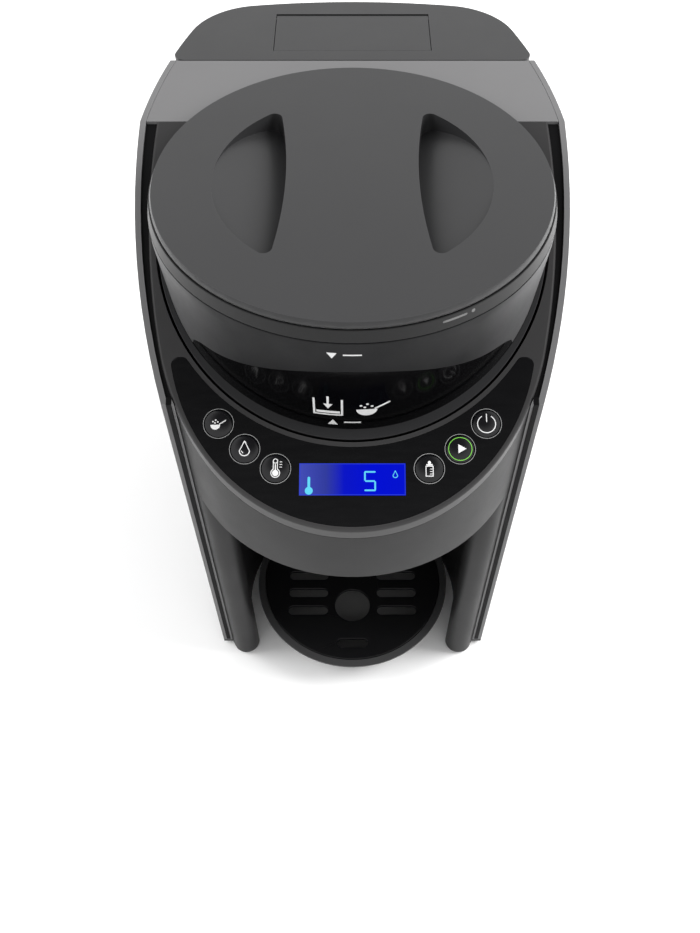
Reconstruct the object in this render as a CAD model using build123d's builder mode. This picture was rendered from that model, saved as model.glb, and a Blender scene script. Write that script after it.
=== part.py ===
from build123d import *
import os
from math import cos, radians, sin, sqrt, tan

# Baby formula maker: a powder drum and a control panel on a head that stands on two legs over the
# bottle stand, with the water tank behind. Millimetres, +X right, +Y back, +Z up.
# The origin is on the table, under the middle of the machine.

# Whole machine
height = 341.0  # table to the top of the drum lid
width = 224.0  # across the outer shell at its widest
depth = 320.0  # front of the head to the back of the tank
head_front = 40.8  # from the drum's rim to the front of the head
outlet_offset = 46.7  # powder outlet in front of the drum axis
body_gap = 0.3  # between pieces that move apart
running_gap = 0.05  # round shafts that turn in their bores
seam = 0.3  # shadow line between two mouldings

# Sloping deck
deck_slope = 24.0
deck_axis_drop = 32.6  # lid top down to the deck, on the drum axis
deck_top_drop = 7.0  # lid top down to the level part at the back
deck_thickness = 3.6
deck_skirt = 5.4  # the deck frame's edge goes this far down the walls
hole_clearance = 0.4  # the deck's hole round the well
deck_edge_radius = 1.5

# Front housing: head, legs and the wall round the bottle niche
housing_wall = 2.2
head_height = 139.0  # niche ceiling's underside up to the top of the drum lid
ceiling_thickness = 2.5
niche_radius = 76.0
mouth_angle = 64.7  # half angle of the niche's mouth, about the outlet axis
head_blend_angle = 50.0  # where the head's round front turns into its sides
housing_inset = 7.5  # widest place of the housing, inside the shell's
side_back = 20.0  # widest place of the housing, behind the drum axis
side_front_inset = 9.3  # where the side curve meets the head's curve
side_front_back = -60.0
housing_back = 57.0

# Outer shell
shell_wall = 3.0
shell_wide_back = 32.0  # widest place of the shell, behind the drum axis
shell_front_back = -83.0  # its front edge, from the drum axis
shell_front_inset = 18.5
rear_corner_inset = 28.0
rear_bow = 9.0  # how far the rear face bows out
rear_corner_ease = 22.0  # the tank's depth less the radius of the rear corners
trim_recess = 1.2
trim_height = 12.0

# Base and feet
foot_height = 2.5
foot_radius = 7.0
middle_foot_inset = 32.0  # from the side
middle_foot_back = 20.0
rear_foot_side_inset = 42.0
rear_foot_inset = 40.0
base_thickness = 2.5
base_screw_radius = 1.5
base_screw_length = 12.0
screw_head_radius = 2.8
screw_head_height = 1.2
boss_radius = 4.0
boss_height = 22.0
rear_screw_side = 34.0
rear_screw_inset = 38.0

# Control panel
rim_width = 2.2  # deck left between the drum's hole and the panel
panel_border = 2.2  # deck left outside the panel
panel_end_gap = 14.0  # from where the panel's two arcs would meet
panel_end_flat = 0.2
panel_thickness = 1.6
panel_fit = 0.15
button_arc_back = -31.6
button_arc_inset = 4.7  # from the radius of the head's round front
button_first_angle = 24.7
button_step = 11.3
button_radius = 6.9
button_flange_radius = 8.3
button_flange_thickness = 1.0
button_dome = 0.9
button_stem_radius = 1.5
button_stem_end = 8.0  # under the deck's face
lcd_width = 51.1
lcd_height = 15.7
lcd_front = 17.7  # from the drum's rim to the middle of the display, seen from above
lcd_frame = 1.5
board_depth = 11.0
board_thickness = 1.6
board_inset = 3.2
board_end_back = -72.0
board_end_radius = 2.0
switch_size = 6.0
switch_height = 1.8
board_boss_radius = 2.0
board_screw_radius = 1.0
board_screw_length = 6.0
board_boss_angle = 56.0

# Drum (powder container)
well_floor_height = 25.0  # niche ceiling's underside up to the well floor's top
well_floor_thickness = 3.0
well_wall = 1.2
well_clearance = 0.6
drum_inset = 12.8  # the drum's rim, inside the shell's widest place
drum_taper = 8.4  # rim radius less foot radius
drum_wall = 2.6
rim_drop = 15.0  # lid top down to the rim's lower edge
neck_step = 2.8  # rim to the neck that the collar goes on
neck_wall = 2.0
neck_drop = 4.2  # lid top down to the neck's top
collar_bottom_drop = 9.7
collar_top_drop = 3.4
collar_taper = 1.4
ledge_gap = 0.9
ledge_end_drop = 29.0  # lid top down to the ends of the ledge
ledge_thickness = 2.5
drum_base_thickness = 3.0
outlet_radius = 11.0
hub_hole_radius = 9.0

# Lid
lid_inset = 2.2  # inside the drum's rim
lid_edge = 0.8
lid_bevel = 1.6
lid_thickness = 3.0
plug_gap = 0.6
lid_plug_wall = 2.0
lid_plug_depth = 7.0
scoop_corner = 4.0
scoop_radius = 67.5
bar_half_width = 37.0
bar_waist = 32.0
scoop_depth = 13.0
scoop_wall = 2.0

# Powder wheel, scraper, stirrer
wheel_radius = 62.0
wheel_thickness = 8.0
pocket_radius = 10.0
pocket_count = 10
hub_radius = 14.0
hub_height = 4.4
hex_apothem = 6.0
hex_height = 9.0
scraper_thickness = 2.4
scraper_half_width = 17.0
scraper_inner_reach = 30.0
stirrer_gap = 2.2  # to the drum's wall
stirrer_lift = 0.5  # hub seat up to the arms
arm_width = 5.0
arm_thickness = 4.0
arm_count = 4
arm_start_angle = 45.0
stirrer_hub_height = 9.0
finger_radius = 2.5
finger_height = 36.0
finger_reach = 60.0

# Drive
gear_module = 1.25
drive_teeth = 48
idler_teeth = 24
pinion_teeth = 12
gear_thickness = 6.0
gear_lift = 7.0  # niche ceiling's underside up to the gears
tooth_backlash = 0.5
pressure_slope = 0.364  # tangent of the 20 degree pressure angle
shaft_radius = 4.0
idler_pin_radius = 3.0
motor_shaft_radius = 1.5
bracket_thickness = 2.5
bracket_lift = 3.5
bracket_half_width = 41.0
bracket_front = 10.0  # in front of the drum axis
bracket_margin = 20.0
bracket_corner = 6.0
post_radius = 3.0
post_x = 37.0
motor_radius = 18.0
motor_length = 52.0
motor_bore_depth = 8.0

# Funnel, its holder and the water nozzle
chute_inner_radius = 12.0
chute_wall = 2.0
chute_end = 1.1  # niche ceiling's underside down to the end of the chute
nozzle_x = -24.0
nozzle_radius = 5.0
nozzle_bore = 2.5
nozzle_block = 12.0
nozzle_end = 1.4  # niche ceiling's underside down to the end of the nozzle
nozzle_inlet_reach = 14.0
funnel_drop = 2.4
funnel_radius = 33.0
funnel_rim = 3.0
funnel_rim_thickness = 2.5
funnel_wall = 2.0
funnel_cone = 16.0
funnel_spout_radius = 8.0
funnel_spout = 6.0
holder_half_width = 42.0
holder_half_length = 44.0
holder_thickness = 5.0
runner_width = 4.0
runner_thickness = 2.0
rail_width = 7.0
rail_length = 90.0
rail_foot = 3.0
grip_half_width = 20.0
grip_depth = 4.0
grip_height = 10.0

# Bottle stand
stand_radius = 68.2
stand_foot_radius = 57.0
stand_top = 29.6
stand_depth = 23.6
stand_band = 1.1
stand_foot_fillet = 6.0
stand_wall = 2.2
stand_rim = 5.0
grille_seat = 1.8
grille_thickness = 2.5
grille_ledge = 1.7
slot_length = 28.0
slot_height = 6.6
slot_x = 31.5
slot_pitch = 14.0
slot_rows_back = 2.2
slot_rows = 5
finger_hole_radius = 12.5
finger_hole_forward = 21.7  # from the bottle's axis to the user
end_slot_back = 51.0
end_slot_length = 21.6
tongue_half_width = 8.7
tongue_height = 16.0
tongue_lift = 6.0
stand_travel = 60.0
track_wall = 2.0
slider_half_width = 16.0
slider_thickness = 4.0
slider_height = 24.0
track_end = 2.0

# Water tank and its dock
tank_gap = 16.8  # from the drum's rim to the front of the tank
tank_wall = 2.4
tank_corner_radius = 6.0
dock_height = 105.0
dock_wall = 2.5
tank_lid_height = 6.0
tank_lid_plate = 4.0
fill_half_width = 45.0
fill_border = 12.0
fill_ledge = 3.0
fill_ledge_thickness = 0.8
flap_barrel_radius = 1.9
flap_pin_radius = 0.9
flap_pin_overhang = 3.0
spout_radius = 8.0
spout_bore = 5.5
spout_length = 8.0
valve_disc_radius = 7.5
valve_disc_thickness = 2.0
valve_stem_radius = 2.0
socket_inner_radius = 10.5
socket_wall = 2.5
socket_depth = 16.0
dock_pin_radius = 1.5
seal_thickness = 3.0
barb_radius = 3.0
barb_length = 8.0
barb_bore = 1.6

# Pump, heater, board, hoses, gland
pump_radius = 16.0
pump_height = 46.0
pump_x = 40.0
heater_radius = 18.0
heater_height = 92.0
heater_x = -58.0
heater_back = 82.0
pump_inset = 35.0
pipe_height = 30.0
pipe_turn_x = -14.0
power_board_x = 46.0
power_board_front = 10.0
power_board_width = 80.0
power_board_height = 64.0
transformer_width = 26.0
transformer_depth = 16.0
transformer_height = 20.0
hose_radius = 4.6
hose_bend = 10.0
gland_radius = 7.0
gland_bore = 3.2
gland_flange = 10.0
gland_flange_thickness = 2.0
gland_height = 30.0

# Places that follow from the sizes above
front_y = -depth / 2
rear_y = depth / 2
drum_rim_radius = width / 2 - drum_inset
head_reach = drum_rim_radius + head_front
tank_reach = drum_rim_radius + tank_gap
drum_y = front_y + head_reach
outlet_y = drum_y - outlet_offset
head_radius = head_reach - outlet_offset
button_arc_radius = head_radius - button_arc_inset
lcd_back = -drum_rim_radius - lcd_front
well_radius = drum_rim_radius + well_clearance
drum_hole_radius = well_radius + hole_clearance
panel_inner_radius = drum_hole_radius + rim_width
panel_outer_radius = head_radius - panel_border
panel_meet = (panel_inner_radius**2 - panel_outer_radius**2 + outlet_offset**2) / (2 * outlet_offset)
panel_end = panel_meet + panel_end_gap
panel_end_width = sqrt(panel_outer_radius**2 - (panel_end - outlet_offset) ** 2)
panel_end_width -= sqrt(panel_inner_radius**2 - panel_end**2)
panel_end_radius = panel_end_width / 2 - panel_end_flat
slope_rise = tan(radians(deck_slope))
slope_cos = cos(radians(deck_slope))
slope_sin = sin(radians(deck_slope))
deck_axis_z = height - deck_axis_drop
deck_top_z = height - deck_top_drop
floor_z = foot_height + base_thickness
niche_height = height - head_height
ceiling_z = niche_height + ceiling_thickness
well_floor_z = niche_height + well_floor_height
housing_end_y = drum_y + housing_back
tank_front_y = drum_y + tank_reach
tank_depth = rear_y - tank_front_y
rear_corner_radius = tank_depth - rear_corner_ease
dock_front_y = tank_front_y - body_gap - dock_wall
far = width + depth + height
middle_foot_x = width / 2 - middle_foot_inset
rear_foot_x = width / 2 - rear_foot_side_inset
side_half_width = width / 2 - housing_inset
side_front_x = side_half_width - side_front_inset
shell_front_x = width / 2 - shell_front_inset
rear_corner_x = width / 2 - rear_corner_inset
drum_radius = drum_rim_radius - drum_taper
neck_radius = drum_rim_radius - neck_step
neck_inner_radius = neck_radius - neck_wall
ledge_radius = well_radius - ledge_gap
collar_top_radius = drum_rim_radius - collar_taper
lid_radius = drum_rim_radius - lid_inset
lid_flat_radius = lid_radius - lid_edge
lid_plug_radius = neck_inner_radius - plug_gap
stirrer_reach = drum_radius - drum_wall - stirrer_gap
fill_half_length = tank_depth / 2 - fill_border

deck_plane = Plane(origin=(0, drum_y, deck_axis_z), x_dir=(1, 0, 0), z_dir=(0, -slope_sin, slope_cos))
drum_section = Plane(origin=(0, drum_y, 0), x_dir=(1, 0, 0), z_dir=(0, -1, 0))
outlet_section = Plane(origin=(0, outlet_y, 0), x_dir=(1, 0, 0), z_dir=(0, -1, 0))
drum_axis = Axis((0, drum_y, 0), (0, 0, 1))
outlet_axis = Axis((0, outlet_y, 0), (0, 0, 1))

os.makedirs("parts", exist_ok=True)


def side_x(y):
    """Half width of the housing at y, along its side curve."""
    sag = side_half_width - side_front_x
    radius = ((side_back - side_front_back) ** 2 + sag**2) / (2 * sag)
    return side_half_width - radius + sqrt(radius**2 - (y - drum_y - side_back) ** 2)


def head_face(end_y):
    """The housing's outline seen from above: round head, flowing into slightly curved sides."""
    blend = radians(head_blend_angle)
    blend_x = head_radius * sin(blend)
    blend_y = outlet_y - head_radius * cos(blend)
    end_x = side_x(end_y)
    with BuildSketch() as face:
        with BuildLine():
            for side in (1, -1):
                blend_start = (side * blend_x, blend_y)
                side_front = (side * side_front_x, drum_y + side_front_back)
                side_wide = (side * side_half_width, drum_y + side_back)
                TangentArc((0, front_y), blend_start, tangent=(side, 0))
                TangentArc(blend_start, side_front, tangent=(side * cos(blend), sin(blend)))
                TangentArc(side_wide, side_front, tangent=(0, -1))
                TangentArc(side_wide, (side * end_x, end_y), tangent=(0, 1))
            Line((end_x, end_y), (-end_x, end_y))
        make_face()
    return face.sketch


def leg_nose_radius():
    """Half the leg's thickness at the niche's mouth, between the niche and the head's outline."""
    blend = radians(head_blend_angle)
    start = (head_radius * sin(blend), outlet_y - head_radius * cos(blend))
    chord = (side_front_x - start[0], drum_y + side_front_back - start[1])
    inward = (-sin(blend), cos(blend))
    arc_radius = (chord[0] ** 2 + chord[1] ** 2) / (2 * (chord[0] * inward[0] + chord[1] * inward[1]))
    centre = (start[0] + arc_radius * inward[0], start[1] + arc_radius * inward[1] - outlet_y)
    ray = (sin(radians(mouth_angle)), -cos(radians(mouth_angle)))
    along = ray[0] * centre[0] + ray[1] * centre[1]
    reach = along + sqrt(along**2 - centre[0] ** 2 - centre[1] ** 2 + arc_radius**2)
    return (reach - niche_radius) / 2


nose_radius = leg_nose_radius()
nose_reach = niche_radius + nose_radius
nose_x = nose_reach * sin(radians(mouth_angle))
nose_y = outlet_y - nose_reach * cos(radians(mouth_angle))
mouth_x = far * sin(radians(mouth_angle))
mouth_y = outlet_y - far * cos(radians(mouth_angle))

with BuildSketch() as mouth_plan:
    with BuildLine():
        Polyline((0, outlet_y), (mouth_x, mouth_y), (-mouth_x, mouth_y), close=True)
    make_face()

head_outline = head_face(housing_end_y)
open_outline = head_face(housing_end_y + 2 * housing_wall)

with BuildSketch() as head_inside:
    add(open_outline)
    offset(amount=-housing_wall)
    with Locations((0, housing_end_y)):
        Rectangle(2 * (side_half_width - 2 * housing_wall), 6 * housing_wall)


def column_face(outline, inset):
    """The legs and the wall round the niche: the outline less the niche and its mouth."""
    with BuildSketch() as face:
        add(outline)
        with Locations((0, outlet_y)):
            Circle(niche_radius + inset, mode=Mode.SUBTRACT)
        add(mouth_plan.sketch, mode=Mode.SUBTRACT)
        with Locations((nose_x, nose_y), (-nose_x, nose_y)):
            Circle(nose_radius - inset)
    return face.sketch


column_plan = column_face(head_outline, 0)
column_inside = column_face(head_inside.sketch, housing_wall)

def shell_face(inset):
    """The outer shell's outline seen from above, drawn in by inset."""
    with BuildSketch() as face:
        with BuildLine():
            for side in (1, -1):
                shell_wide = (side * width / 2, drum_y + shell_wide_back)
                shell_front = (side * shell_front_x, drum_y + shell_front_back)
                rear_corner = (side * rear_corner_x, rear_y - rear_bow)
                TangentArc(shell_wide, shell_front, tangent=(0, -1))
                TangentArc(shell_wide, rear_corner, tangent=(0, 1))
                TangentArc((0, rear_y), rear_corner, tangent=(side, 0))
            Line((shell_front_x, drum_y + shell_front_back), (-shell_front_x, drum_y + shell_front_back))
        make_face()
        if inset:
            offset(amount=-inset, kind=Kind.INTERSECTION)
        corners = face.vertices().filter_by(lambda v: v.Y > rear_y / 2 and abs(v.X) > rear_corner_x / 2)
        fillet(corners, rear_corner_radius - inset)
    return face.sketch


shell_plan = shell_face(0)
shell_inside = shell_face(shell_wall)
tank_bore_plan = shell_face(tank_wall)


def side_profile(drop):
    """Side view of everything under the deck, lowered square to it by drop: (y, z) points."""
    slope_drop = drop / slope_cos
    level = deck_top_z - drop
    break_y = drum_y + (level - deck_axis_z + slope_drop) / slope_rise
    start_y = front_y - far / 4
    start_z = deck_axis_z - slope_drop + slope_rise * (start_y - drum_y)
    with BuildSketch(Plane.YZ) as profile:
        with BuildLine():
            Polyline(
                (start_y, start_z), (break_y, level), (rear_y + far, level),
                (rear_y + far, -far), (start_y, -far),
                close=True,
            )
        make_face()
    return profile.sketch


deck_profile = side_profile(0)
plate_profile = side_profile(deck_thickness)
skirt_profile = side_profile(deck_skirt)
housing_profile = side_profile(deck_skirt + seam)
trim_profile = side_profile(trim_recess)
trim_foot_profile = side_profile(trim_recess + trim_height)


def crescent(inner_radius, outer_radius, end_y, end_radius):
    """Crescent between the drum and the head's front, with round ends."""
    with BuildSketch() as face:
        with Locations((0, outlet_y)):
            Circle(outer_radius)
        with Locations((0, drum_y)):
            Circle(inner_radius, mode=Mode.SUBTRACT)
        with Locations((0, end_y + far)):
            Rectangle(2 * far, 2 * far, mode=Mode.SUBTRACT)
        fillet(face.vertices().group_by(Axis.Y)[-1], end_radius)
    return face.sketch


# Places on the deck: x, and v up the slope from the drum axis
lcd_v = lcd_back / slope_cos
button_spots = {}
for side, names in ((1, ("volume", "start", "power")), (-1, ("temp", "water", "powder"))):
    for place, name in enumerate(names):
        angle = radians(button_first_angle + place * button_step)
        plan_back = button_arc_back - button_arc_radius * cos(angle)
        button_spots[name + "_button"] = (side * button_arc_radius * sin(angle), plan_back / slope_cos)
boss_angle = radians(board_boss_angle)
boss_reach = head_radius - housing_wall - board_inset - 1.6 * board_boss_radius
front_boss_x = lcd_width / 2 + lcd_frame + 1.8 * board_boss_radius
front_boss_y = sqrt(boss_reach**2 - front_boss_x**2) + outlet_offset + board_depth * slope_sin
boss_spots = [
    (button_arc_radius * sin(boss_angle),
    (button_arc_back - button_arc_radius * cos(boss_angle)) / slope_cos),
    (front_boss_x, -front_boss_y / slope_cos),
]
boss_spots += [(-x, v) for x, v in boss_spots]

panel_plan = crescent(panel_inner_radius, panel_outer_radius, drum_y - panel_end, panel_end_radius)
recess_plan = crescent(
    panel_inner_radius - panel_fit, panel_outer_radius + panel_fit, drum_y - panel_end + panel_fit,
    panel_end_radius + panel_fit)
board_plan = crescent(
    well_radius + well_wall + board_inset, head_radius - housing_wall - board_inset,
    drum_y + board_end_back, board_end_radius)


def deck_slab(plan, top, bottom):
    """Plan shape between two depths under the deck's face."""
    with BuildPart() as slab:
        with BuildSketch(Plane.XY.offset(niche_height / 2)):
            add(plan)
        extrude(amount=height)
        with BuildSketch(deck_plane.offset(-bottom)):
            Rectangle(4 * width, 4 * depth)
        extrude(amount=bottom - top, mode=Mode.INTERSECT)
    return slab.part


def housing_rib(plan, x, y):
    """Screw bosses at x and -x, each with a rib to the walls of its plan."""
    with BuildPart() as ribs:
        with BuildSketch(Plane.XY.offset(floor_z)):
            with Locations((0, y)):
                Rectangle(2 * far, 2.4)
            with Locations((0, y)):
                Rectangle(2 * (x - boss_radius - housing_wall), 3, mode=Mode.SUBTRACT)
            add(plan, mode=Mode.INTERSECT)
            with Locations((x, y), (-x, y)):
                Circle(boss_radius)
        extrude(amount=boss_height)
        with Locations((x, y, floor_z), (-x, y, floor_z)):
            Cylinder(
                base_screw_radius + running_gap, base_screw_length + 2,
                align=(Align.CENTER, Align.CENTER, Align.MIN), mode=Mode.SUBTRACT)
    return ribs.part


# Heights that several pieces share
drum_base_z = well_floor_z + body_gap
drum_wall_z = drum_base_z + drum_base_thickness
wheel_z = drum_wall_z + body_gap
wheel_top_z = wheel_z + wheel_thickness
hub_top_z = wheel_top_z + hub_height
collar_z = height - collar_bottom_drop
collar_top_z = height - collar_top_drop
neck_top_z = height - neck_drop
lid_z = height - lid_thickness
gear_z = niche_height + gear_lift
bracket_z = niche_height + bracket_lift
bracket_top_z = bracket_z + bracket_thickness
well_bottom_z = well_floor_z - well_floor_thickness
idler_y = drum_y + gear_module * (drive_teeth + idler_teeth) / 2
pinion_y = idler_y + gear_module * (idler_teeth + pinion_teeth) / 2
funnel_top_z = niche_height - funnel_drop
holder_top_z = funnel_top_z - funnel_rim_thickness
holder_z = holder_top_z - holder_thickness
cone_z = holder_z - funnel_cone
stand_bottom_z = stand_top - stand_depth
grille_seat_z = stand_top - grille_seat
tongue_z = stand_bottom_z + tongue_lift
slider_y = outlet_y + niche_radius + housing_wall + body_gap + track_wall + body_gap
slider_z = tongue_z - (slider_height - tongue_height) / 2
slot_half_width = tongue_half_width + body_gap
dock_top_z = dock_height
tank_z = dock_top_z + body_gap
tank_top_z = deck_top_z - tank_lid_height
plate_z = deck_top_z - tank_lid_plate
valve_y = rear_y - tank_depth / 2
spout_z = tank_z - spout_length
socket_z = dock_top_z - dock_wall - socket_depth
rear_screw_x = width / 2 - rear_screw_side
leg_screw_x = (niche_radius + side_x(outlet_y)) / 2
rear_screw_y = rear_y - rear_screw_inset
opening_y = (tank_front_y + rear_y) / 2 - rear_bow / 4

# ---- Deck frame: the sloping top of the head ----
deck_cavity = deck_slab(head_inside.sketch, deck_thickness, height)
panel_recess = deck_slab(recess_plan, -height / 10, panel_thickness)
with BuildPart() as deck_frame:
    with BuildSketch(Plane.XY.offset(niche_height)):
        add(head_outline)
    extrude(amount=height)
    extrude(deck_profile, amount=far, both=True, mode=Mode.INTERSECT)
    slope_face = deck_frame.faces().sort_by(Axis((0, 0, 0), deck_plane.z_dir))[-1]
    fillet(slope_face.edges().sort_by(Axis.Y)[:-1], deck_edge_radius)
    extrude(skirt_profile, amount=far, both=True, mode=Mode.SUBTRACT)
    add(deck_cavity, mode=Mode.SUBTRACT)
    add(panel_recess, mode=Mode.SUBTRACT)
    with BuildSketch(deck_plane.offset(-deck_thickness)):
        with Locations(*boss_spots):
            Circle(board_boss_radius)
    extrude(amount=-(board_depth - deck_thickness))
    with BuildSketch(deck_plane.offset(-board_depth)):
        with Locations(*boss_spots):
            Circle(board_screw_radius + running_gap)
    extrude(amount=board_screw_length, mode=Mode.SUBTRACT)
    with BuildSketch(deck_plane.offset(-2 * deck_thickness)):
        with Locations((0, lcd_v)):
            RectangleRounded(lcd_width + 2 * lcd_frame + 0.6, lcd_height + 2 * lcd_frame + 0.6, 1)
        with Locations(*button_spots.values()):
            Circle(button_radius + body_gap)
    extrude(amount=3 * deck_thickness, mode=Mode.SUBTRACT)
    with BuildSketch(Plane.XY.offset(niche_height)):
        with Locations((0, drum_y)):
            Circle(drum_hole_radius)
    extrude(amount=height, mode=Mode.SUBTRACT)
deck_frame.part.label = "deck_frame"
export_step(deck_frame.part, "parts/deck_frame.step")

# ---- Front housing: head under the deck frame, two legs and the wall round the niche ----
leg_ribs = housing_rib(column_plan, leg_screw_x, outlet_y)
with BuildPart() as front_housing:
    with BuildSketch(Plane.XY.offset(floor_z)):
        add(column_plan)
    extrude(amount=niche_height - floor_z)
    with BuildSketch(Plane.XY.offset(niche_height)):
        add(head_outline)
    extrude(amount=height)
    extrude(housing_profile, amount=far, both=True, mode=Mode.INTERSECT)
    with BuildSketch(Plane.XY.offset(floor_z)):
        add(column_inside)
    extrude(amount=niche_height - floor_z, mode=Mode.SUBTRACT)
    with BuildSketch(Plane.XY.offset(ceiling_z)):
        add(head_inside.sketch)
    extrude(amount=height, mode=Mode.SUBTRACT)
    add(leg_ribs)
    with BuildSketch(Plane.XY.offset(niche_height)):
        with Locations((0, outlet_y)):
            Circle(chute_inner_radius + chute_wall + body_gap)
        with Locations((nozzle_x, outlet_y)):
            Circle(nozzle_radius + body_gap)
        with Locations((0, pinion_y)):
            Circle(motor_radius + 1)
    extrude(amount=ceiling_thickness, mode=Mode.SUBTRACT)
    with BuildSketch(Plane.XZ.offset(-outlet_y)):
        with Locations((0, (tongue_z - 1 + tongue_z + tongue_height + stand_travel + 1) / 2)):
            Rectangle(2 * slot_half_width, tongue_height + stand_travel + 2)
    extrude(amount=-(niche_radius + 2 * housing_wall), mode=Mode.SUBTRACT)
front_housing.part.label = "front_housing"
export_step(front_housing.part, "parts/front_housing.step")

# ---- Outer shell: sides and back ----
with BuildSketch() as shell_hollow:
    add(head_outline)
    offset(amount=seam)
    add(shell_inside)

rear_ribs = housing_rib(shell_plan, rear_screw_x, rear_screw_y)
with BuildPart() as outer_shell:
    with BuildSketch(Plane.XY.offset(floor_z)):
        add(shell_plan)
    extrude(amount=height)
    extrude(deck_profile, amount=far, both=True, mode=Mode.INTERSECT)
    with BuildSketch(Plane.XY.offset(floor_z)):
        add(shell_hollow.sketch)
    extrude(amount=height, mode=Mode.SUBTRACT)
    with BuildSketch(Plane.XY.offset(dock_top_z)):
        with Locations((0, tank_front_y - body_gap)):
            Rectangle(2 * far, far, align=(Align.CENTER, Align.MIN))
    extrude(amount=height, mode=Mode.SUBTRACT)
    add(rear_ribs)
    with BuildSketch(Plane.XZ.offset(-rear_y - 1)):
        with Locations((0, gland_height)):
            Circle(gland_radius + running_gap)
    extrude(amount=2 * shell_wall, mode=Mode.SUBTRACT)
outer_shell.part.label = "outer_shell"
export_step(outer_shell.part, "parts/outer_shell.step")

# ---- Black trim strips between the shell and the housing ----
with BuildPart() as side_trims:
    with BuildSketch(Plane.XY.offset(niche_height / 2)):
        add(shell_inside)
        add(head_outline, mode=Mode.SUBTRACT)
        add(open_outline, mode=Mode.SUBTRACT)
        with Locations((0, housing_end_y)):
            Rectangle(2 * far, far, align=(Align.CENTER, Align.MIN), mode=Mode.SUBTRACT)
    extrude(amount=height)
    extrude(trim_profile, amount=far, both=True, mode=Mode.INTERSECT)
    extrude(trim_foot_profile, amount=far, both=True, mode=Mode.SUBTRACT)
trim_solids = side_trims.solids().sort_by(Axis.X)

with BuildPart() as side_trim_left:
    add(trim_solids[0])
side_trim_left.part.label = "side_trim_left"
export_step(side_trim_left.part, "parts/side_trim_left.step")

with BuildPart() as side_trim_right:
    add(trim_solids[-1])
side_trim_right.part.label = "side_trim_right"
export_step(side_trim_right.part, "parts/side_trim_right.step")

# ---- Top cover between the drum and the tank ----
with BuildPart() as top_cover:
    with BuildSketch(Plane.XY.offset(deck_top_z - deck_thickness)):
        with Locations((0, housing_end_y + seam)):
            Rectangle(
                2 * far, tank_front_y - body_gap - housing_end_y - seam, align=(Align.CENTER, Align.MIN))
        add(shell_inside, mode=Mode.INTERSECT)
        with Locations((0, drum_y)):
            Circle(drum_hole_radius, mode=Mode.SUBTRACT)
    extrude(amount=deck_thickness)
top_cover.part.label = "top_cover"
export_step(top_cover.part, "parts/top_cover.step")

# ---- Base plate, feet and screws ----
with BuildPart() as base_plate:
    with BuildSketch(Plane.XY.offset(foot_height)):
        add(shell_plan)
        add(head_outline)
        with Locations((0, outlet_y)):
            Circle(niche_radius, mode=Mode.SUBTRACT)
        add(mouth_plan.sketch, mode=Mode.SUBTRACT)
        with Locations((nose_x, nose_y), (-nose_x, nose_y)):
            Circle(nose_radius)
    extrude(amount=base_thickness)
    screw_spots = [
        (leg_screw_x, outlet_y), (-leg_screw_x, outlet_y), (rear_screw_x, rear_screw_y),
        (-rear_screw_x, rear_screw_y)]
    with BuildSketch(Plane.XY.offset(foot_height)):
        with Locations(*screw_spots):
            Circle(base_screw_radius + running_gap)
    extrude(amount=base_thickness, mode=Mode.SUBTRACT)
    with BuildSketch(Plane.XY.offset(foot_height)):
        with Locations(*screw_spots):
            Circle(screw_head_radius + body_gap)
    extrude(amount=screw_head_height, mode=Mode.SUBTRACT)
base_plate.part.label = "base_plate"
export_step(base_plate.part, "parts/base_plate.step")

with BuildPart() as feet:
    with BuildSketch():
        with Locations((nose_x, nose_y), (-nose_x, nose_y)):
            Circle(foot_radius)
        with Locations(
                (middle_foot_x, drum_y + middle_foot_back), (-middle_foot_x, drum_y + middle_foot_back)):
            Circle(foot_radius)
        with Locations((rear_foot_x, rear_y - rear_foot_inset), (-rear_foot_x, rear_y - rear_foot_inset)):
            Circle(foot_radius)
    extrude(amount=foot_height)
feet.part.label = "feet"
export_step(feet.part, "parts/feet.step")

with BuildPart() as base_screws:
    with BuildSketch(Plane.XY.offset(foot_height)):
        with Locations(*screw_spots):
            Circle(screw_head_radius)
    extrude(amount=screw_head_height)
    with BuildSketch(Plane.XY.offset(foot_height + screw_head_height)):
        with Locations(*screw_spots):
            Circle(base_screw_radius)
    extrude(amount=base_screw_length)
base_screws.part.label = "base_screws"
export_step(base_screws.part, "parts/base_screws.step")

# ---- Control panel, display and electronics under it ----
panel_blank = deck_slab(panel_plan, 0, panel_thickness)
with BuildPart() as control_panel:
    add(panel_blank)
    with BuildSketch(deck_plane.offset(-2 * panel_thickness)):
        with Locations((0, lcd_v)):
            Rectangle(lcd_width + 0.2, lcd_height + 0.2)
        with Locations(*button_spots.values()):
            Circle(button_radius + body_gap)
    extrude(amount=3 * panel_thickness, mode=Mode.SUBTRACT)
control_panel.part.label = "control_panel"
export_step(control_panel.part, "parts/control_panel.step")

with BuildPart() as lcd_glass:
    with BuildSketch(deck_plane.offset(-panel_thickness)):
        with Locations((0, lcd_v)):
            Rectangle(lcd_width, lcd_height)
    extrude(amount=panel_thickness)
lcd_glass.part.label = "lcd_glass"
export_step(lcd_glass.part, "parts/lcd_glass.step")

with BuildPart() as lcd_module:
    with BuildSketch(deck_plane.offset(-board_depth)):
        with Locations((0, lcd_v)):
            Rectangle(lcd_width + 2 * lcd_frame, lcd_height + 2 * lcd_frame)
    extrude(amount=board_depth - panel_thickness - 0.1)
lcd_module.part.label = "lcd_module"
export_step(lcd_module.part, "parts/lcd_module.step")

board_blank = deck_slab(board_plan, board_depth, board_depth + board_thickness)
with BuildPart() as control_board:
    add(board_blank)
    with BuildSketch(deck_plane.offset(-board_depth - 2 * board_thickness)):
        with Locations(*boss_spots):
            Circle(board_screw_radius + running_gap)
    extrude(amount=3 * board_thickness, mode=Mode.SUBTRACT)
control_board.part.label = "control_board"
export_step(control_board.part, "parts/control_board.step")

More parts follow.
